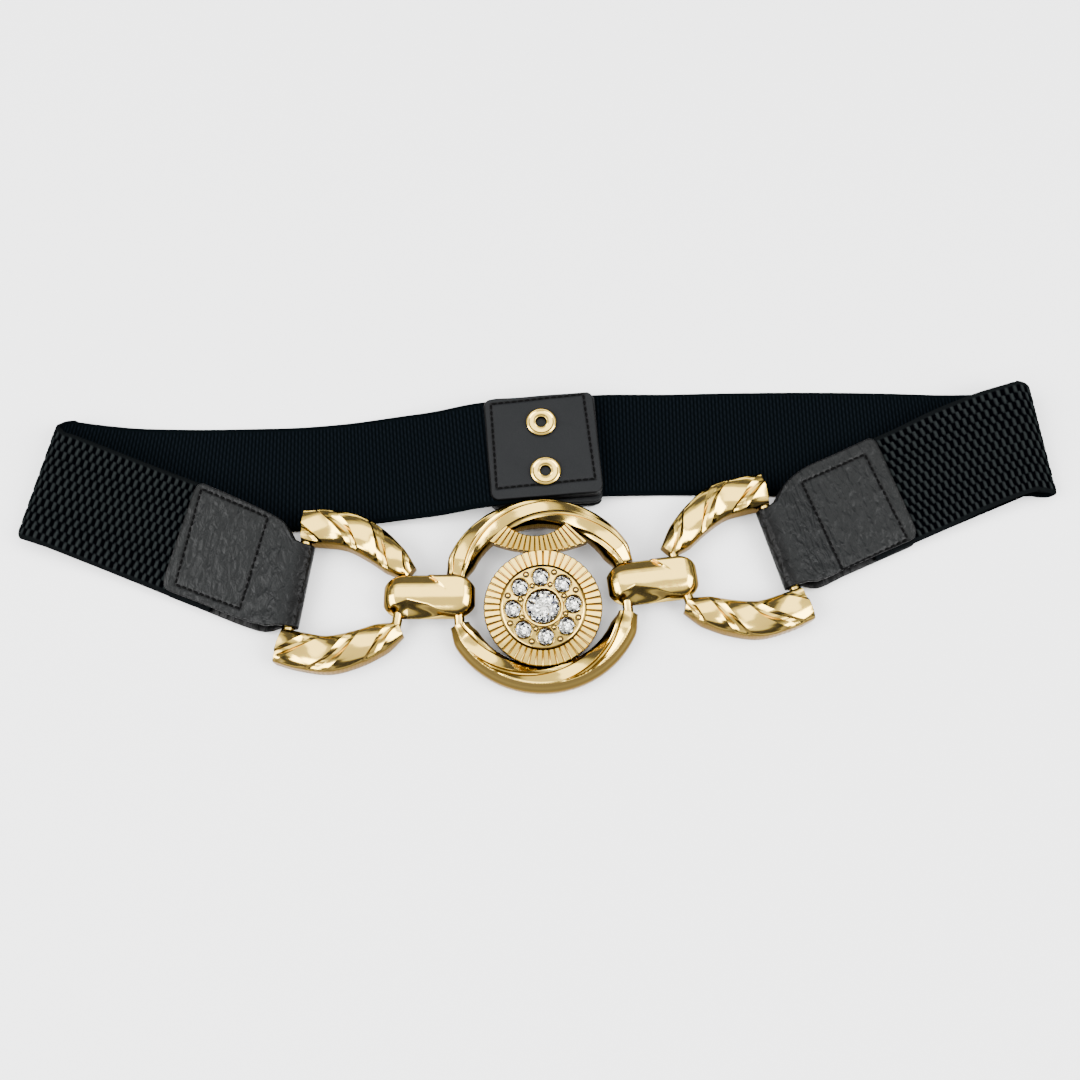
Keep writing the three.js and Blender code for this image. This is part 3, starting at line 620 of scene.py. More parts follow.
for number, (x, y) in enumerate(STUDS, 1):
    def on_belt(points, x=x, y=y):
        return points + np.array((x, y, 0))

    stud = lathed("stud", STUD_PROFILE, 48, on_belt)
    # Painted shade inside the hole
    paint(stud, from_axis(stud, (x, y, 0)) < STUD_SHADE_RADIUS)
    cast_piece(f"stud_{number}", f"press_stud_{number}", [stud])

# Horseshoe links
# Two twisted arms joined by a hidden bar, which the leather loops round, and by a thin neck, which
# the oval connector loops round. On the arms' upper side broad flat strands with sharp edges wind
# round between narrower valleys. Their lower side is a smooth wall.
VALLEY_SHARE = 0.36
VALLEY_WALL = 0.34
SIDE_RELIEF = 0.35
SIDE_FADE = 0.6
# Depths are shares of the radius; the walls are the degrees on each side that no strand reaches
ARM_RELIEF = {"strands": 2, "valley": 0.23, "flat": 0.1, "boxy": 2.3, "walls": (4, 4), "flat_wall": 0}
STRAIGHTNESS = 0.75
LOWER_BOXY = 8
LOWER_DEPTH = 1.5
# How dark the valleys between strands are painted, as shade
VALLEY_SHADE = 0.5
WALL_FADE = 8
BAR_COLUMNS = 144
LINK_CORE = 4.3
LINK_BAR_RADIUS = 2.0
LINK_BAR_AT = 2.0
LINK_BAR_HALF = 17
LINK_REACH = 37.6
LINK_NECK_HALF = 11
NECK_RADIUS = 1.7
ARM_CORE = 4.6
ARM_TOP = 4.7
ARM_FULL = 5.8
ARM_STATIONS = 160
ARM_EVENNESS = 0.25
# Degrees turned at the cut end, along the arm and more and more along it, for the upper and lower arm
ARM_TWISTS = {1: (-90, 407, 126), -1: (63, 492, 0)}
# Each row: how far from the cut end, how far from the link's middle line, half the width
ARM_ROWS = [(0, 21, 5.9), (8, 21.8, 6.2), (17, 21.6, 6.2), (25.5, 18.3, 5.8), (33, 13.8, 5), (39.4, 9.8, 2.6)]
LINK_LIFT = 1.45
LINKS = {
    "left": {"at": (-84.1, -18.3, LINK_LIFT), "heading": -8.2, "lean": 2.6},
    "right": {"at": (83.8, -4.3, LINK_LIFT), "heading": 197, "lean": -2.6},
}


def strand_radius(angle, relief):
    """The radius, up to 1, at an angle round a section with some strands and as many valleys."""
    share = np.mod(angle * relief["strands"] / (2 * math.pi), 1)
    low = np.clip(share / VALLEY_SHARE, 0, 1)
    high = np.clip((share - VALLEY_SHARE) / (1 - VALLEY_SHARE), 0, 1)
    sunk = relief["valley"] * np.clip(np.minimum(low, 1 - low) / VALLEY_WALL, 0, 1)
    return 1 - sunk - 4 * relief["flat"] * high * (1 - high)


def bar_section(angle, boxy):
    """Places round a bar's section for angles; lines that turn evenly run straight across its top."""
    even = 1 - 2 * np.abs(np.mod(angle + math.pi, 2 * math.pi) - math.pi) / math.pi
    boxy = np.where(np.sin(angle) < 0, LOWER_BOXY, boxy)
    out = STRAIGHTNESS * even + (1 - STRAIGHTNESS) * np.cos(angle)
    up = np.sign(np.sin(angle)) * (1 - np.abs(out) ** boxy) ** (1 / boxy)
    return out, up


def twisted_bar(name, middle, side, half_wide, half_tall, core, turn, relief, to_plan):
    """A bar along a middle line; its strands turn along it with painted shade in the valleys, and its lower
    side is a smooth wall.
    """
    rows = len(middle) - 1

    def place(a, b):
        k = np.rint(b * rows).astype(int)
        own = 2 * math.pi * a
        angle = own + turn[k]
        height = np.sin(angle)
        shown = SIDE_RELIEF + (1 - SIDE_RELIEF) * np.clip(height / SIDE_FADE, 0, 1)
        from_side = np.degrees(np.arcsin(np.clip(height, -1, 1)))
        wall = np.where(np.cos(angle) > 0, *relief["walls"])
        shown = shown * np.clip((from_side - wall) / WALL_FADE, 0, 1)
        radius = 1 + shown * (strand_radius(own, relief) - 1)
        radius = radius - relief["flat_wall"] * np.sin(math.pi * np.clip(from_side / wall, 0, 1))
        out, up = bar_section(angle, relief["boxy"])
        points = middle[k] + side[k] * (half_wide[k] * radius * out)[:, None]
        tall = half_tall[k] * np.where(height < 0, LOWER_DEPTH, 1)
        points[:, 2] = np.maximum(0, core + tall * radius * up)
        # The valleys get painted shade, darkest at their bottoms and where the strands show most
        deep = (1 - strand_radius(own, relief) - relief["flat"]) / (relief["valley"] - relief["flat"])
        return to_plan(points), VALLEY_SHADE * shown * np.clip(deep, 0, 1)

    return closed_skin(mapped_grid(name, BAR_COLUMNS, rows, place, (0.03, 0.05)))


def round_bar(name, start, end, radius, to_plan, sides=24):
    """A plain round bar between two points of a piece's own plan."""
    start, end = np.array(start, float), np.array(end, float)
    line = (end - start) / np.linalg.norm(end - start)
    one = np.cross(line, (0, 0, 1))
    other = np.cross(line, one)

    def place(a, b):
        angle = 2 * math.pi * a
        ring = one * np.cos(angle)[:, None] + other * np.sin(angle)[:, None]
        return to_plan(start + (end - start) * b[:, None] + radius * ring), 0

    return closed_skin(mapped_grid(name, sides, 4, place, (0.01, 0.03)))


def cross_bar(name, x, half, radius, to_plan):
    """A plain bar across a link, half its length to each side."""
    return round_bar(name, (x, -half, LINK_CORE), (x, half, LINK_CORE), radius, to_plan)


def link_arm(mirror, to_plan):
    """One twisted arm, the upper with mirror 1 and the lower with -1."""
    path = smooth_line([(x, mirror * y, 0) for x, y, _ in ARM_ROWS], ARM_STATIONS, ARM_EVENNESS)
    wide = smooth_line([(half, 0, 0) for _, _, half in ARM_ROWS], ARM_STATIONS, ARM_EVENNESS)[:, 0]
    travel = np.gradient(path, axis=0)
    travel /= np.linalg.norm(travel, axis=1)[:, None]
    across = np.stack([-travel[:, 1], travel[:, 0], travel[:, 2]], axis=1)
    t = np.linspace(0, 1, ARM_STATIONS + 1)
    first, even, growing = ARM_TWISTS[mirror]
    turned = np.radians(first + even * t + growing * t ** 2)
    turn = turned if mirror > 0 else math.pi - turned
    tall = ARM_TOP * np.minimum(1, wide / ARM_FULL)
    return twisted_bar("arm", path, across, wide, tall, ARM_CORE, turn, ARM_RELIEF, to_plan)


def link_turn(link):
    """How a link lies, as a matrix."""
    return Euler((math.radians(link["lean"]), 0, math.radians(link["heading"])), "XYZ").to_matrix()


for side, link in LINKS.items():
    def to_plan(points, turn=link_turn(link), at=link["at"]):
        return placed(points, turn, at)

    cast_piece(f"horseshoe_{side}", f"horseshoe_link_{side}", [
        link_arm(1, to_plan),
        link_arm(-1, to_plan),
        cross_bar("bar", LINK_BAR_AT, LINK_BAR_HALF, LINK_BAR_RADIUS, to_plan),
        cross_bar("neck", LINK_REACH, LINK_NECK_HALF, NECK_RADIUS, to_plan),
    ])

# Leather tabs in front
# A strip of the same leather folded round the link's bar, with the webbing between its two layers and
# a stitched box. The leather inside the box is creased from side to side, the fold is smooth and gets painted
# shade.
FOLD_HALF = 14.5
FOLD_RADIUS = LINK_BAR_RADIUS + 0.3 + LEATHER / 2
FLAT_OFFSET = BAND_THICKNESS / 2 + 0.25 + LEATHER / 2
# Each row: middle x and y, direction across in degrees, heights of the two edges, half the width
FRONT_TABS = {
    "left": {
        "rows": [
            (-123.3, -1.3, 73.9, 3, 9.5, 20.2), (-109, -7.2, 76, 3.2, 8.7, 20),
            (-97, -12.4, 79, 3.8, 8, 19.8), (-90, -15.5, 81, 4.6, 7.5, 18.8),
            (-85.6, -18, 81.8, 5.4, 7, 15.1),
        ],
        "stitches": [(-116.4, 14.8), (-93, 4.8), (-100.8, -26.8), (-123.5, -18)],
        "flip": 1,
    },
    "right": {
        "rows": [
            (123.9, 16.9, 110, 3.1, 7, 20.3), (110, 10.4, 109, 3.3, 6.9, 20.1),
            (98, 4.8, 108, 3.8, 6.9, 20), (90, -0.4, 107, 4.6, 7, 18.8),
            (85.2, -3.5, 107, 5.4, 7, 15.1),
        ],
        "stitches": [(113.5, 28.8), (90.6, 18.2), (102.9, -13), (126.2, -1.5)],
        "flip": -1,
    },
}
TAB_STATIONS = 220
TAB_COLUMNS = 160
FRONT_WAY_ROUND = 104
STRIP_EDGE = 0.27
LAYER_STEPS = 90
FOLD_STEPS = 24
# Shares of a layer's length: where it starts to swell towards the fold, and over how much
SWELL_FROM = 0.5
SWELL_OVER = 0.43
# The lower layer's edge shows by this much, until so far before the fold, fading over so much
STRIP_BELOW = 1.7
STRIP_ENDS = 8
STRIP_FADE = 6
# Creases: depth, waves in radians a millimetre, how they bend, where they end before the fold
CREASE_DEPTH = 0.07
CREASE_WAVES = 2.9
CREASE_BEND = 1.5
CREASE_BEND_WAVES = 0.31
CREASE_FADE = 4
CREASE_ENDS = 14
FRONT_EDGE_BLACK = 1.6
# Painted shade along the fold: full within so far of its middle, fading in over so much, and how dark
FOLD_SHADE_AT = 3.6
FOLD_SHADE_FADE = 3
FOLD_SHADE = 0.9


def folded_edges(rows, centre, away, up, across):
    """The near and the far edge of a strip's middle, over the bar and back underneath."""
    edges = [strip_edges(row, row[5]) for row in rows]
    near, far = (smooth_line([edge[side] for edge in edges], LAYER_STEPS) for side in (0, 1))
    travel = np.gradient((near + far) / 2, axis=0)
    face = np.cross(far - near, travel)
    face /= np.linalg.norm(face, axis=1)[:, None]
    face *= np.sign(face[:, 2])[:, None]
    swell = np.clip((np.linspace(0, 1, LAYER_STEPS + 1) - SWELL_FROM) / SWELL_OVER, 0, 1)
    offset = FLAT_OFFSET + (FOLD_RADIUS - FLAT_OFFSET) * swell ** 2 * (3 - 2 * swell)
    lift = face * offset[:, None]
    angle = np.linspace(math.pi / 2, -math.pi / 2, FOLD_STEPS + 1)[:, None]
    round_bar_line = centre + FOLD_RADIUS * (away * np.cos(angle) + up * np.sin(angle))
    near = np.concatenate([near + lift, round_bar_line - across * FOLD_HALF, (near - lift)[::-1]])
    far = np.concatenate([far + lift, round_bar_line + across * FOLD_HALF, (far - lift)[::-1]])
    return near, far


def front_tab(side, tab, link):
    """A strip folded round a link's bar, with its creases, groove and stitches."""
    holder = link_turn(link)
    centre = placed([(LINK_BAR_AT, 0, LINK_CORE)], holder, link["at"])[0]
    away, up = np.array(holder @ Vector((1, 0, 0))), np.array(holder @ Vector((0, 0, 1)))
    across_bar = np.array(holder @ Vector((0, tab["flip"], 0)))
    near, far = folded_edges(tab["rows"], centre, away, up, across_bar)
    middle, across, face, reach, length = even_stations(near, far, TAB_STATIONS)
    face = face * np.sign(face[0, 2])
    edge, thick = STRIP_EDGE, LEATHER / 2
    # Shares of the way round the section, with the side, the offset from it and the height
    section = np.array([
        (0, -1, 0, edge - thick), (0.01, -1, 0, thick - edge), (0.02, -1, edge, thick),
        (0.78, 1, -edge, thick), (0.79, 1, 0, thick - edge), (0.80, 1, 0, edge - thick),
        (0.81, 1, -edge, -thick), (0.99, -1, edge, -thick), (1, -1, 0, edge - thick),
    ])

    def place(a, b):
        k = np.rint(b * TAB_STATIONS).astype(int)
        part, offset, height = along_section(section, a)
        travelled = b * length
        from_end = np.minimum(travelled, length - travelled)
        inset = end_inset(from_end, TAB_CORNER)
        to_fold = length / 2 - travelled
        shown_strip = STRIP_BELOW * (1 - part) / 2 * np.clip((to_fold - STRIP_ENDS) / STRIP_FADE, 0, 1)
        v = part * (reach[k] - inset) + offset + shown_strip
        out = (a > section[2, 0]) & (a < section[3, 0])
        flat = middle[k] + across[k] * v[:, None]
        groove = np.exp(-(distance_to_line(flat[:, 0], flat[:, 1], tab["stitches"]) / GROOVE_WIDTH) ** 2)
        groove = np.where(out & (b < 0.5), groove, 0)
        bend = CREASE_BEND * np.sin(v * CREASE_BEND_WAVES)
        crease = CREASE_DEPTH * np.sin(travelled * CREASE_WAVES + bend)
        crease *= np.clip(travelled / CREASE_FADE - 0.5, 0, 1)
        crease *= np.clip((to_fold - CREASE_ENDS) / CREASE_FADE, 0, 1)
        height = height + np.where(out, crease - GROOVE_DEPTH * groove, 0)
        rim = np.minimum(reach[k] - np.abs(v), from_end)
        rim = np.minimum(rim, reach[k] - np.abs(v) + shown_strip)
        # The cut edges are dyed black; the stitch groove and the fold get painted shade
        shaded_fold = np.clip(1 - (to_fold - FOLD_SHADE_AT) / FOLD_SHADE_FADE, 0, 1)
        dye_and_shade = np.maximum(np.clip(FRONT_EDGE_BLACK - rim / TAB_EDGE, 0, 1), STITCH_GROOVE_SHADE * groove)
        return flat + face[k] * height[:, None], np.where(out, np.maximum(dye_and_shade, FOLD_SHADE * shaded_fold), 1)

    size = (FRONT_WAY_ROUND * MM, length * MM)
    piece = mapped_grid(f"leather_{side}", TAB_COLUMNS, TAB_STATIONS, place, size)
    piece.data.materials.append(creased_leather)
    closed_skin(piece, 40)
    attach(piece, "root")
    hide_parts(f"front_tab_{side}")
    stitching(f"stitches_{side}", tab["stitches"], piece)


for side, tab in FRONT_TABS.items():
    front_tab(side, tab, LINKS[side])

# Oval connectors
# Barrels with round ends that a link's neck and the ring's neck run into. A ridge crosses the far side
# of each at a slant, with a dark slope before it and a bright shelf after it, and the near side is
# scooped out below a second ridge.
CONNECTOR_LENGTH = 30.9
CONNECTOR_WIDTH = 14.8
CONNECTOR_HEIGHT = 9.8
CONNECTOR_COLUMNS = 120
CONNECTOR_ROWS = 140
# Shares of half the length: where a barrel starts to narrow, over how much, and where its scoop fades
EVEN_PART = 0.55
NARROWING_PART = 0.45
SCOOP_FADE = 0.12
NARROWING = 0.82
END_HEIGHT = math.sqrt(0.05)
CONNECTORS = {
    "left": {"at": (-37.2, -23, 6.6), "turn": (4, -3.4, -0.6)},
    "right": {"at": (38.1, -17.4, 6.7), "turn": (4, 4.2, 8.5)},
}
# Places along the barrel from -1 to 1, and the lower ridge's angle there, up from the near side
LOWER_RIDGE = ((-1, -0.9, -0.75, -0.45, 0, 0.3, 0.6, 0.85, 1), (15, 30, 62, 80, 64, 42, 30, 24, 20))
SCOOP = 1.3
SCOOP_DEGREES = 70
# How dark the scoop below the lower ridge is painted, as shade in the hollow
SCOOP_SHADE = 0.5
# The far side's section before and after the upper ridge: shares of the width and of the height
FAR_SLOPE = ((0, 0.3, 0.52, 0.9, 0.97, 1), (1, 0.96, 0.87, 0.58, 0.42, 0))
FAR_SHELF = ((0, 0.5, 0.8, 0.92, 0.98, 1), (1, 0.99, 0.95, 0.86, 0.6, 0))
# The upper ridge: shares of the width, and places along the barrel from -1 to 1
UPPER_RIDGE = ((0, 0.28, 0.5, 0.8, 1), (0.44, 0.38, 0.26, 0.08, -0.02))
RIDGE_STEP = 0.05


def connector(side, at, turn):
    """A barrel with its two ridges and painted shade in its scoop."""
    half = CONNECTOR_LENGTH / 2
    tall = CONNECTOR_HEIGHT / 2
    matrix = Euler([math.radians(angle) for angle in turn], "XYZ").to_matrix()

    def place(a, b):
        x = -np.cos(math.pi * b)
        bow = np.maximum(0, np.abs(x) * half - half + tall)
        high = np.sqrt(np.maximum(tall ** 2 - bow ** 2, END_HEIGHT ** 2))
        fade = np.maximum(0, np.abs(x) - EVEN_PART) / NARROWING_PART
        wide = CONNECTOR_WIDTH / 2 * np.sqrt(1 - NARROWING * fade ** 2)
        angle = 2 * math.pi * a
        lifted = np.degrees(angle)
        below = np.clip((np.interp(x, *LOWER_RIDGE) - lifted) / SCOOP_DEGREES, 0, 1)
        ease = np.clip((1 - np.abs(x)) / SCOOP_FADE, 0, 1)
        carved = ease * SCOOP * np.sin(math.pi * below)
        far = np.clip(-np.cos(angle), 0, 1)
        after = np.clip((x - np.interp(far, *UPPER_RIDGE)) / RIDGE_STEP + 0.5, 0, 1)
        slope, shelf = np.interp(far, *FAR_SLOPE), np.interp(far, *FAR_SHELF)
        height = np.where((lifted > 90) & (lifted < 180), slope + (shelf - slope) * after, np.sin(angle))
        points = np.stack([x * half, -(wide - carved) * np.cos(angle), (high - carved) * height], axis=1)
        # The scoop gets painted shade
        return placed(points, matrix, at), SCOOP_SHADE * np.clip(3 * below, 0, 1)

    barrel = mapped_grid(f"connector_{side}", CONNECTOR_COLUMNS, CONNECTOR_ROWS, place, (0.04, 0.03))
    cast_piece(f"barrel_{side}", f"connector_{side}", [closed_skin(barrel)], 28)


for side, connection in CONNECTORS.items():
    connector(side, connection["at"], connection["turn"])

# Centre ring
# Two arcs with long shallow flutes, joined by thin necks that run into the connectors. The lower arc has
# a broad smooth outer wall. Inside them are soldered a ribbed crescent bar and a ribbed rim, which
# holds the stone disc.
RING_LEAN = Euler((math.radians(5.4), 0, 0)).to_matrix()
RING_AT = (0.7, -21.7, 3.224)
RING_OVAL = np.array((1.035, 1, 1))
RING_PATH = 28.6
RING_HALF_WIDE = 4.6
RING_TOP = 8.6
UPPER_CORE = 3.9
LOWER_CORE = 2.4
RING_NECK = 3.9
RING_TURN = 4.5
RING_GAP = 17
RING_TWIST = 2 * math.pi * 0.6
RING_STATIONS = 200
NECK_HOLD = 1.5
UPPER_RELIEF = {"strands": 4, "valley": 0.13, "flat": 0.06, "boxy": 2.1, "walls": (4, 4), "flat_wall": 0}
LOWER_RELIEF = {"strands": 4, "valley": 0.15, "flat": 0.06, "boxy": 2.1, "walls": (54, 4), "flat_wall": 0.1}
SHOULDER_SIZE = 0.72
SHOULDER_LENGTH = 0.08
RIM_AT = np.array((0.3, -5, 0))
RIM_BASE = 3
RIM_TOP = 7.3
RIM_RIBS = 50
RIB_GROOVE = 0.35
# Shares of a rib's pitch: from its middle to where the groove's wall starts, and over that wall
RIB_HALF = 0.33
RIB_WALL = 0.1
RIB_COLUMNS = 10
RIB_ROWS = 20
# How dark the rib grooves are painted, as shade
RIB_GROOVE_SHADE = 0.88
# Each row: share of the way round the section, radius, height, how deep the grooves are there
RIM_SECTION = np.array([
    (0, 14.3, RIM_BASE, 0), (0.2, 19.7, RIM_BASE, 0), (0.4, 19.8, 6.6, 0.4), (0.5, 19.45, 7, 1),
    (0.9, 14.6, RIM_TOP, 1), (0.95, 14.3, 7, 0.6), (1, 14.3, RIM_BASE, 0),
])
PLATE = [(0, RIM_BASE), (14.8, RIM_BASE), (14.8, 4.9), (0, 4.9)]
BAR_HUB = np.array((-2.5, 33.5))
BAR_NEAR = 13.9
BAR_LOW_HUB = np.array((-1.3, 56))
BAR_LOW_RADIUS = 41.8
BAR_FIRST = 222
BAR_SWEEP = 96
BAR_RIBS = 17
# Each row: share of the way round the section, share of the way outwards, height, depth of the grooves
BAR_SECTION = np.array([
    (0, 0, RIM_BASE, 0), (0.2, 1, RIM_BASE, 0), (0.4, 1, 6.3, 0.4), (0.5, 0.96, 6.6, 1),
    (0.9, 0.05, RIM_TOP, 1), (0.95, 0, 7, 0.6), (1, 0, RIM_BASE, 0),
])


def on_ring(points):
    """Points of the ring's own plan, on the belt's plan."""
    return placed(points, RING_LEAN, RING_AT)


def on_medallion(points):
    """Points round the rim's middle, on the belt's plan."""
    return on_ring(points + RIM_AT)


def on_oval(points):
    """Points of a round ring, drawn out to the oval."""
    return on_ring(np.asarray(points) * RING_OVAL)


def ring_arc(name, start, end, core, relief):
    """A twisted arc with shoulders at its ends."""
    t = np.linspace(0, 1, RING_STATIONS + 1)
    angle = np.radians(start + (end - start) * t)
    side = np.stack([np.cos(angle), np.sin(angle), np.zeros(len(t))], axis=1)
    grown = np.clip(np.minimum(t, 1 - t) / SHOULDER_LENGTH, 0, 1)
    taper = SHOULDER_SIZE + (1 - SHOULDER_SIZE) * grown ** 2 * (3 - 2 * grown)
    wide, tall = RING_HALF_WIDE * taper, (RING_TOP - core) * taper
    return twisted_bar(name, side * RING_PATH, side, wide, tall, core, RING_TWIST * t, relief, on_oval)


def ring_neck(degrees):
    """A thin bar between the ends of the two arcs, which hold it at both ends."""
    away = RING_PATH * math.cos(math.radians(RING_GAP))
    half = RING_PATH * math.sin(math.radians(RING_GAP)) + NECK_HOLD
    turn = np.array(Matrix.Rotation(math.radians(degrees), 3, "Z"))
    start, end = (turn @ np.array((away, side * half, RING_NECK)) for side in (-1, 1))
    return round_bar("neck", start, end, NECK_RADIUS, on_oval)


def rib_groove(a, ribs):
    """From 0 on top of a rib to 1 at the bottom of the narrow groove beside it."""
    phase = np.abs(a * ribs - np.round(a * ribs))
    return np.clip((phase - RIB_HALF) / RIB_WALL, 0, 1)


def ribbed_rim():
    """The round rim with ribs on its outer side and its top."""
    def place(a, b):
        radius, height, share = along_section(RIM_SECTION, b)
        groove = RIB_GROOVE * share * rib_groove(a, RIM_RIBS)
        points = round_points(a, radius - np.where(b < 0.5, groove / 2, 0), height - groove)
        # The grooves get painted shade
        return on_medallion(points), RIB_GROOVE_SHADE * groove / RIB_GROOVE

    return closed_skin(mapped_grid("rim", RIB_COLUMNS * RIM_RIBS, RIB_ROWS, place, (0.12, 0.02)), 25)


def ribbed_crescent():
    """The crescent bar, whose ribs spread from a point above the ring."""
    def place(a, b):
        share, height, depth = along_section(BAR_SECTION, b)
        groove = RIB_GROOVE * depth * rib_groove(a, BAR_RIBS)
        angle = np.radians(BAR_FIRST + BAR_SWEEP * a)
        ray = np.stack([np.cos(angle), np.sin(angle)], axis=1)
        apart = BAR_HUB - BAR_LOW_HUB
        lean = ray @ apart
        far = np.sqrt(lean ** 2 + BAR_LOW_RADIUS ** 2 - apart @ apart) - lean
        reach = BAR_NEAR + (far - BAR_NEAR) * share
        flat = BAR_HUB + ray * reach[:, None]
        points = np.column_stack([flat, height - groove])
        # The grooves get painted shade
        return on_ring(points), RIB_GROOVE_SHADE * groove / RIB_GROOVE

    return closed_skin(mapped_grid("crescent", RIB_COLUMNS * BAR_RIBS, RIB_ROWS, place, (0.05, 0.02)), 25)


cast_piece("twisted_ring", "centre_ring", [
    ring_arc("upper_arc", RING_TURN + RING_GAP, RING_TURN + 180 - RING_GAP, UPPER_CORE, UPPER_RELIEF),
    ring_arc("lower_arc", RING_TURN + 180 + RING_GAP, RING_TURN + 360 - RING_GAP, LOWER_CORE, LOWER_RELIEF),
    ring_neck(RING_TURN),
    ring_neck(RING_TURN + 180),
    ribbed_rim(),
    ribbed_crescent(),
    lathed("plate", PLATE, 64, on_medallion),
])

# Stone disc
# A gold disc inside the rim, with a raised bezel round the middle stone, a thin rim round each of the
# eight small ones and two circles of cast beads between them.
DISC_RADIUS = 14
DISC_TOP = 8
SEAT_FLOOR = 6.4
STONE_BIG = 5.5
STONE_SMALL = 2.75
STONE_CIRCLE = 10.1
STONE_COUNT = 8
STONE_START = 95
SEAT_RADIUS = 3.05
SEAT_SIDES = 36
# Each row: radius and height
SEAT_RIM = [(3.02, 7.8), (3.02, 8.25), (3.15, 8.36), (3.3, 8.25), (3.36, 7.8), (3.02, 7.8)]
# Each row: radius of the circle, radius of its beads
BEADS = [(12.3, 0.75), (7.9, 0.65)]
BEAD_FOOT = 7.7
BEAD_BASE = DISC_TOP + 0.05
BEAD_MOAT = 0.4
BEAD_EDGE = 0.98
# How dark the low ring round each bead's foot is painted, as shade
BEAD_RING_SHADE = 0.95
DISC_PROFILE = [
    (0, 5.2), (DISC_RADIUS, 5.2), (DISC_RADIUS, 7.5), (13.85, 7.8), (13.5, DISC_TOP), (7.1, DISC_TOP),
    (6.9, 8.05), (6.8, 8.35), (6.6, 8.5), (6.15, 8.5), (5.95, 8.35), (5.8, 8), (5.8, SEAT_FLOOR),
    (0, SEAT_FLOOR),
]


def circle_place(circle, index):
    """The place of one of eight things on a circle round the disc's middle."""
    angle = math.radians(STONE_START - 360 * index / STONE_COUNT)
    return np.array((circle * math.cos(angle), circle * math.sin(angle), 0))


def on_disc(place):
    """What lays a small piece's points round a place on the disc."""
    def to_plan(points):
        return on_medallion(points + place)

    return to_plan


def seat_rim(index):
    """A thin raised ring round a small stone."""
    return lathed("seat_rim", SEAT_RIM, SEAT_SIDES, on_disc(circle_place(STONE_CIRCLE, index)))


def cut_seats(disc):
    """Cuts the small stones' round seats into the disc."""
    for k in range(STONE_COUNT):
        middle = on_disc(circle_place(STONE_CIRCLE, k))(np.array([(0, 0, SEAT_FLOOR + 2)]))[0]
        bpy.ops.mesh.primitive_cylinder_add(
            vertices=SEAT_SIDES, radius=SEAT_RADIUS * MM, depth=4 * MM,
            location=in_frame(middle), rotation=RING_LEAN.to_euler(),
        )
        cutter = bpy.context.object
        bpy.context.view_layer.objects.active = disc
        cut = disc.modifiers.new("seat", "BOOLEAN")
        cut.operation = "DIFFERENCE"
        cut.object = cutter
        bpy.ops.object.modifier_apply(modifier="seat")
        bpy.data.objects.remove(cutter)


def bead(circle, radius, index):
    """A small cast bead on a low ring painted dark as shade."""
    wide = radius + BEAD_MOAT
    profile = [(0, BEAD_FOOT), (wide, BEAD_FOOT), (wide, BEAD_BASE), (radius, BEAD_BASE)]
    for slope in (0.4, 0.8, 1.2):
        profile.append((radius * math.cos(slope), BEAD_BASE + radius * math.sin(slope)))
    profile.append((0, BEAD_BASE + radius))
    to_plan = on_disc(circle_place(circle, index))
    made = lathed("bead", profile, 20, to_plan)
    distances = from_axis(made, to_plan(np.array([(0, 0, DISC_TOP)]))[0])
    # Painted shade on the ring round the bead's foot
    paint(made, BEAD_RING_SHADE * (distances > BEAD_EDGE * radius))
    return made


disc = lathed("disc", DISC_PROFILE, 160, on_medallion)
cut_seats(disc)
cast_piece("medallion", "stone_disc", [
    disc,
    *[seat_rim(k) for k in range(STONE_COUNT)],
    *[bead(circle, radius, k + 0.5) for circle, radius in BEADS for k in range(STONE_COUNT)],
])

# Stones
# Clear glass, foiled silver behind. The crown's facets bend what the foil sends back, so each stone
# shows white and grey patches with sharp borders.
clear_glass, glass_shader = new_material("clear cut glass", "#ffffff", 0.0, Transmission_Weight=1.0, IOR=1.55)
silver_foil, _ = new_material("silver foil", "#e9e9e6", 0.03, metallic=1.0)
# Each row: share of the radius, height as a share of the crown or of the depth below, half steps
# turned, and how far every other corner is pushed up and the rest down
CROWN = [(0, 1, 0, 0), (0.56, 1, 0, 0), (0.8, 0.62, 1, 0), (1, 0, 2, 0), (1, -0.12, 2, 0)]
PAVILION = [(0.74, -0.55, 3, 0.3), (0.5, -0.6, 4, -0.35), (0.25, -0.6, 5, 0.35), (0, -1, 5, 0)]
GIRDLE = 8.15
STONE_FOOT = 6.75
CROWN_SHARE = 0.28


def rhinestone(name, node, radius, sides, place):
    """A cut stone with a table, a crown of facets and foil on its pleated lower side."""
    rings = np.array(CROWN + PAVILION)
    depth = GIRDLE - STONE_FOOT
    heights = rings[:, 1] * np.where(rings[:, 1] > 0, radius * CROWN_SHARE, depth)

    def to_place(a, b):
        k = np.rint(b * (len(rings) - 1)).astype(int)
        pleat = np.where(np.rint(a * sides) % 2 == 0, 1, -1) * rings[k, 3] * depth
        share = a + rings[k, 2] / (2 * sides)
        points = round_points(share, radius * rings[k, 0], GIRDLE + heights[k] + pleat)
        return on_disc(place)(points), 0

    size = (0.01, 0.01)
    stone = mapped_grid(name, sides, len(rings) - 1, to_place, size)
    stone.data.materials.append(clear_glass)
    stone.data.materials.append(silver_foil)
    for polygon, share in zip(stone.data.polygons, face_shares(stone, 1, size[1])):
        polygon.material_index = 0 if share * (len(rings) - 1) < len(CROWN) - 1 else 1
    closed_skin(stone)
    bpy.ops.object.mode_set(mode="EDIT")
    bpy.ops.mesh.select_all(action="SELECT")
    bpy.ops.mesh.quads_convert_to_tris()
    bpy.ops.object.mode_set(mode="OBJECT")
    bpy.ops.object.shade_flat()
    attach(stone, "root")
    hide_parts(node)


rhinestone("rhinestone_centre", "stone_centre", STONE_BIG, 16, np.zeros(3))
for k in range(STONE_COUNT):
    rhinestone(f"rhinestone_{k + 1}", f"stone_{k + 1}", STONE_SMALL, 8, circle_place(STONE_CIRCLE, k))

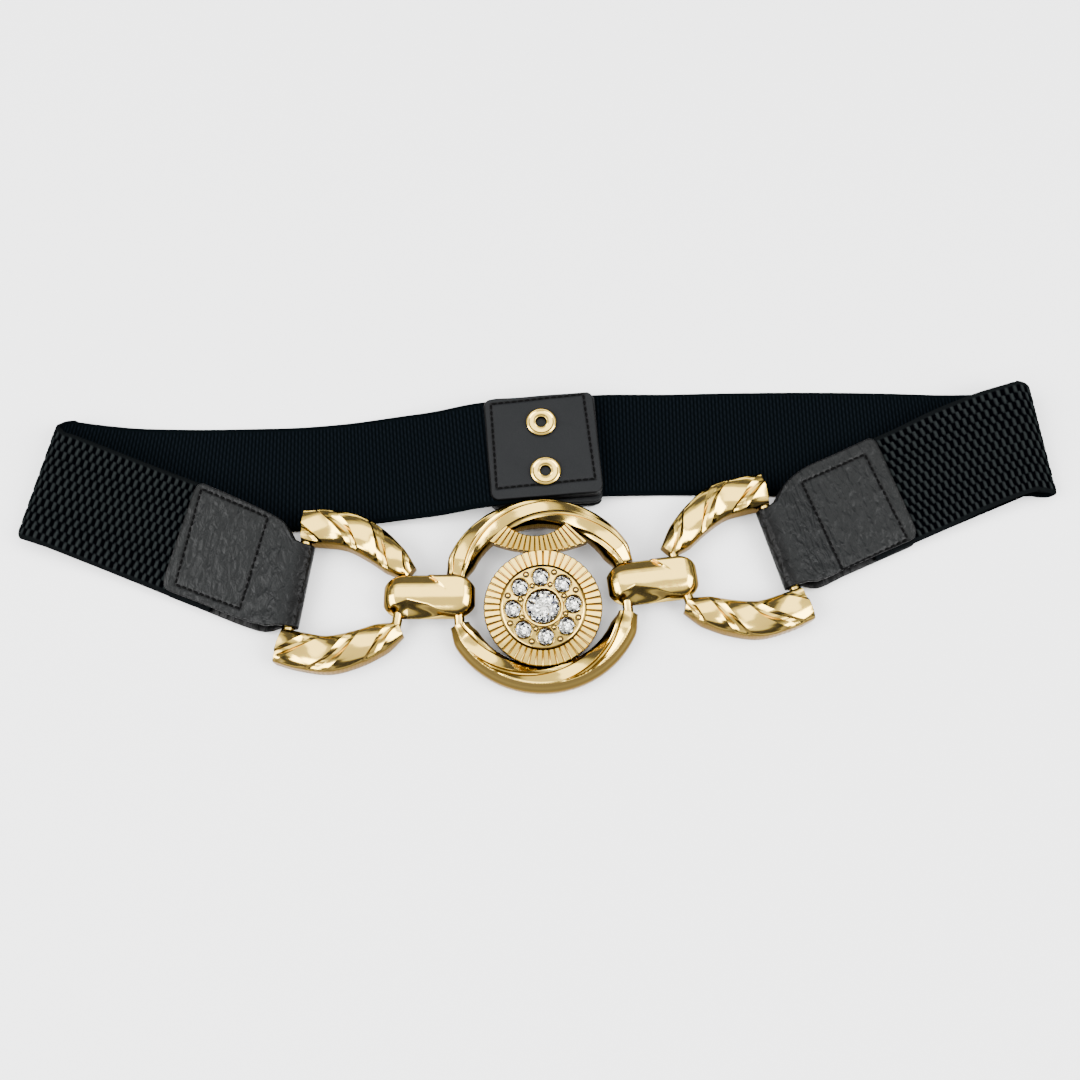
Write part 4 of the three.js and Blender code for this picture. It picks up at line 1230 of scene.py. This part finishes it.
# Studio
# A plain white floor, a camera at the photograph's angle, a large soft box behind, one on each side and
# a small one near the camera's left. The room is dark near the floor and dim above, for the metal.
CAMERA_DISTANCE = 0.43
CAMERA_ELEVATION = math.radians(70)
LENS = 41.2
bpy.ops.object.select_all(action="DESELECT")
bpy.ops.object.camera_add(
    location=(
        PLAN_ORIGIN[0],
        PLAN_ORIGIN[1] - CAMERA_DISTANCE * math.cos(CAMERA_ELEVATION),
        PLAN_ORIGIN[2] + CAMERA_DISTANCE * math.sin(CAMERA_ELEVATION),
    ),
    rotation=(math.pi / 2 - CAMERA_ELEVATION, 0, 0),
)
camera = bpy.context.object
camera.data.lens = LENS
camera.data.sensor_width = 36
bpy.context.scene.camera = camera

bpy.ops.mesh.primitive_plane_add(size=6, location=(0, 0, 0))
floor = bpy.context.object
floor.name = "floor"
paper, paper_shader = new_material("matt white paper", "#ffffff", 0.9)
paper_shader.inputs["Base Color"].default_value = (0.9, 0.9, 0.9, 1)
floor.data.materials.append(paper)

# The room's brightness by the height of each direction: dark walls and a dim pale ceiling
DARK_WALL = (0.014, 0.015, 0.026)
ROOM = [
    (0.01, (0.12, 0.12, 0.12)), (0.12, DARK_WALL), (0.5, DARK_WALL), (0.54, (0.08, 0.08, 0.08)),
    (0.63, (0.13, 0.13, 0.13)), (0.99, (0.15, 0.15, 0.15)),
]
ROOM_STRENGTH = 9.5
# Soft boxes: azimuth and elevation in degrees, width and height in metres, radiance
SOFT_BOXES = [
    (90, 70, 1.6, 1.2, 3.4), (193, 40, 1.2, 1.2, 13.5), (-13, 40, 1.2, 1.2, 13.5), (238, 42, 0.5, 0.5, 13),
]
SOFT_BOX_DISTANCE = 1.6
for azimuth, elevation, width, height, radiance in SOFT_BOXES:
    around, up = math.radians(azimuth), math.radians(elevation)
    towards = Vector((math.cos(around) * math.cos(up), math.sin(around) * math.cos(up), math.sin(up)))
    bpy.ops.object.light_add(
        type="AREA", location=towards * SOFT_BOX_DISTANCE,
        rotation=towards.to_track_quat("Z", "Y").to_euler(),
    )
    box = bpy.context.object.data
    box.shape = "RECTANGLE"
    box.size, box.size_y = width, height
    box.energy = radiance * math.pi * width * height
world = bpy.data.worlds.new("studio")
bpy.context.scene.world = world
world.use_nodes = True
sky = world.node_tree.nodes["Background"]
direction = add_node(world, "TexCoord")
height = add_node(world, "SeparateXYZ", {"Vector": direction.outputs["Generated"]})
brightness = add_node(world, "ValToRGB", {"Fac": height.outputs["Z"]})
world.node_tree.links.new(brightness.outputs["Color"], sky.inputs["Color"])
for share, colour in ROOM:
    stop = brightness.color_ramp.elements.new(share)
    stop.color = (*colour, 1)
for end in (0, -1):
    brightness.color_ramp.elements.remove(brightness.color_ramp.elements[end])
sky.inputs["Strength"].default_value = ROOM_STRENGTH
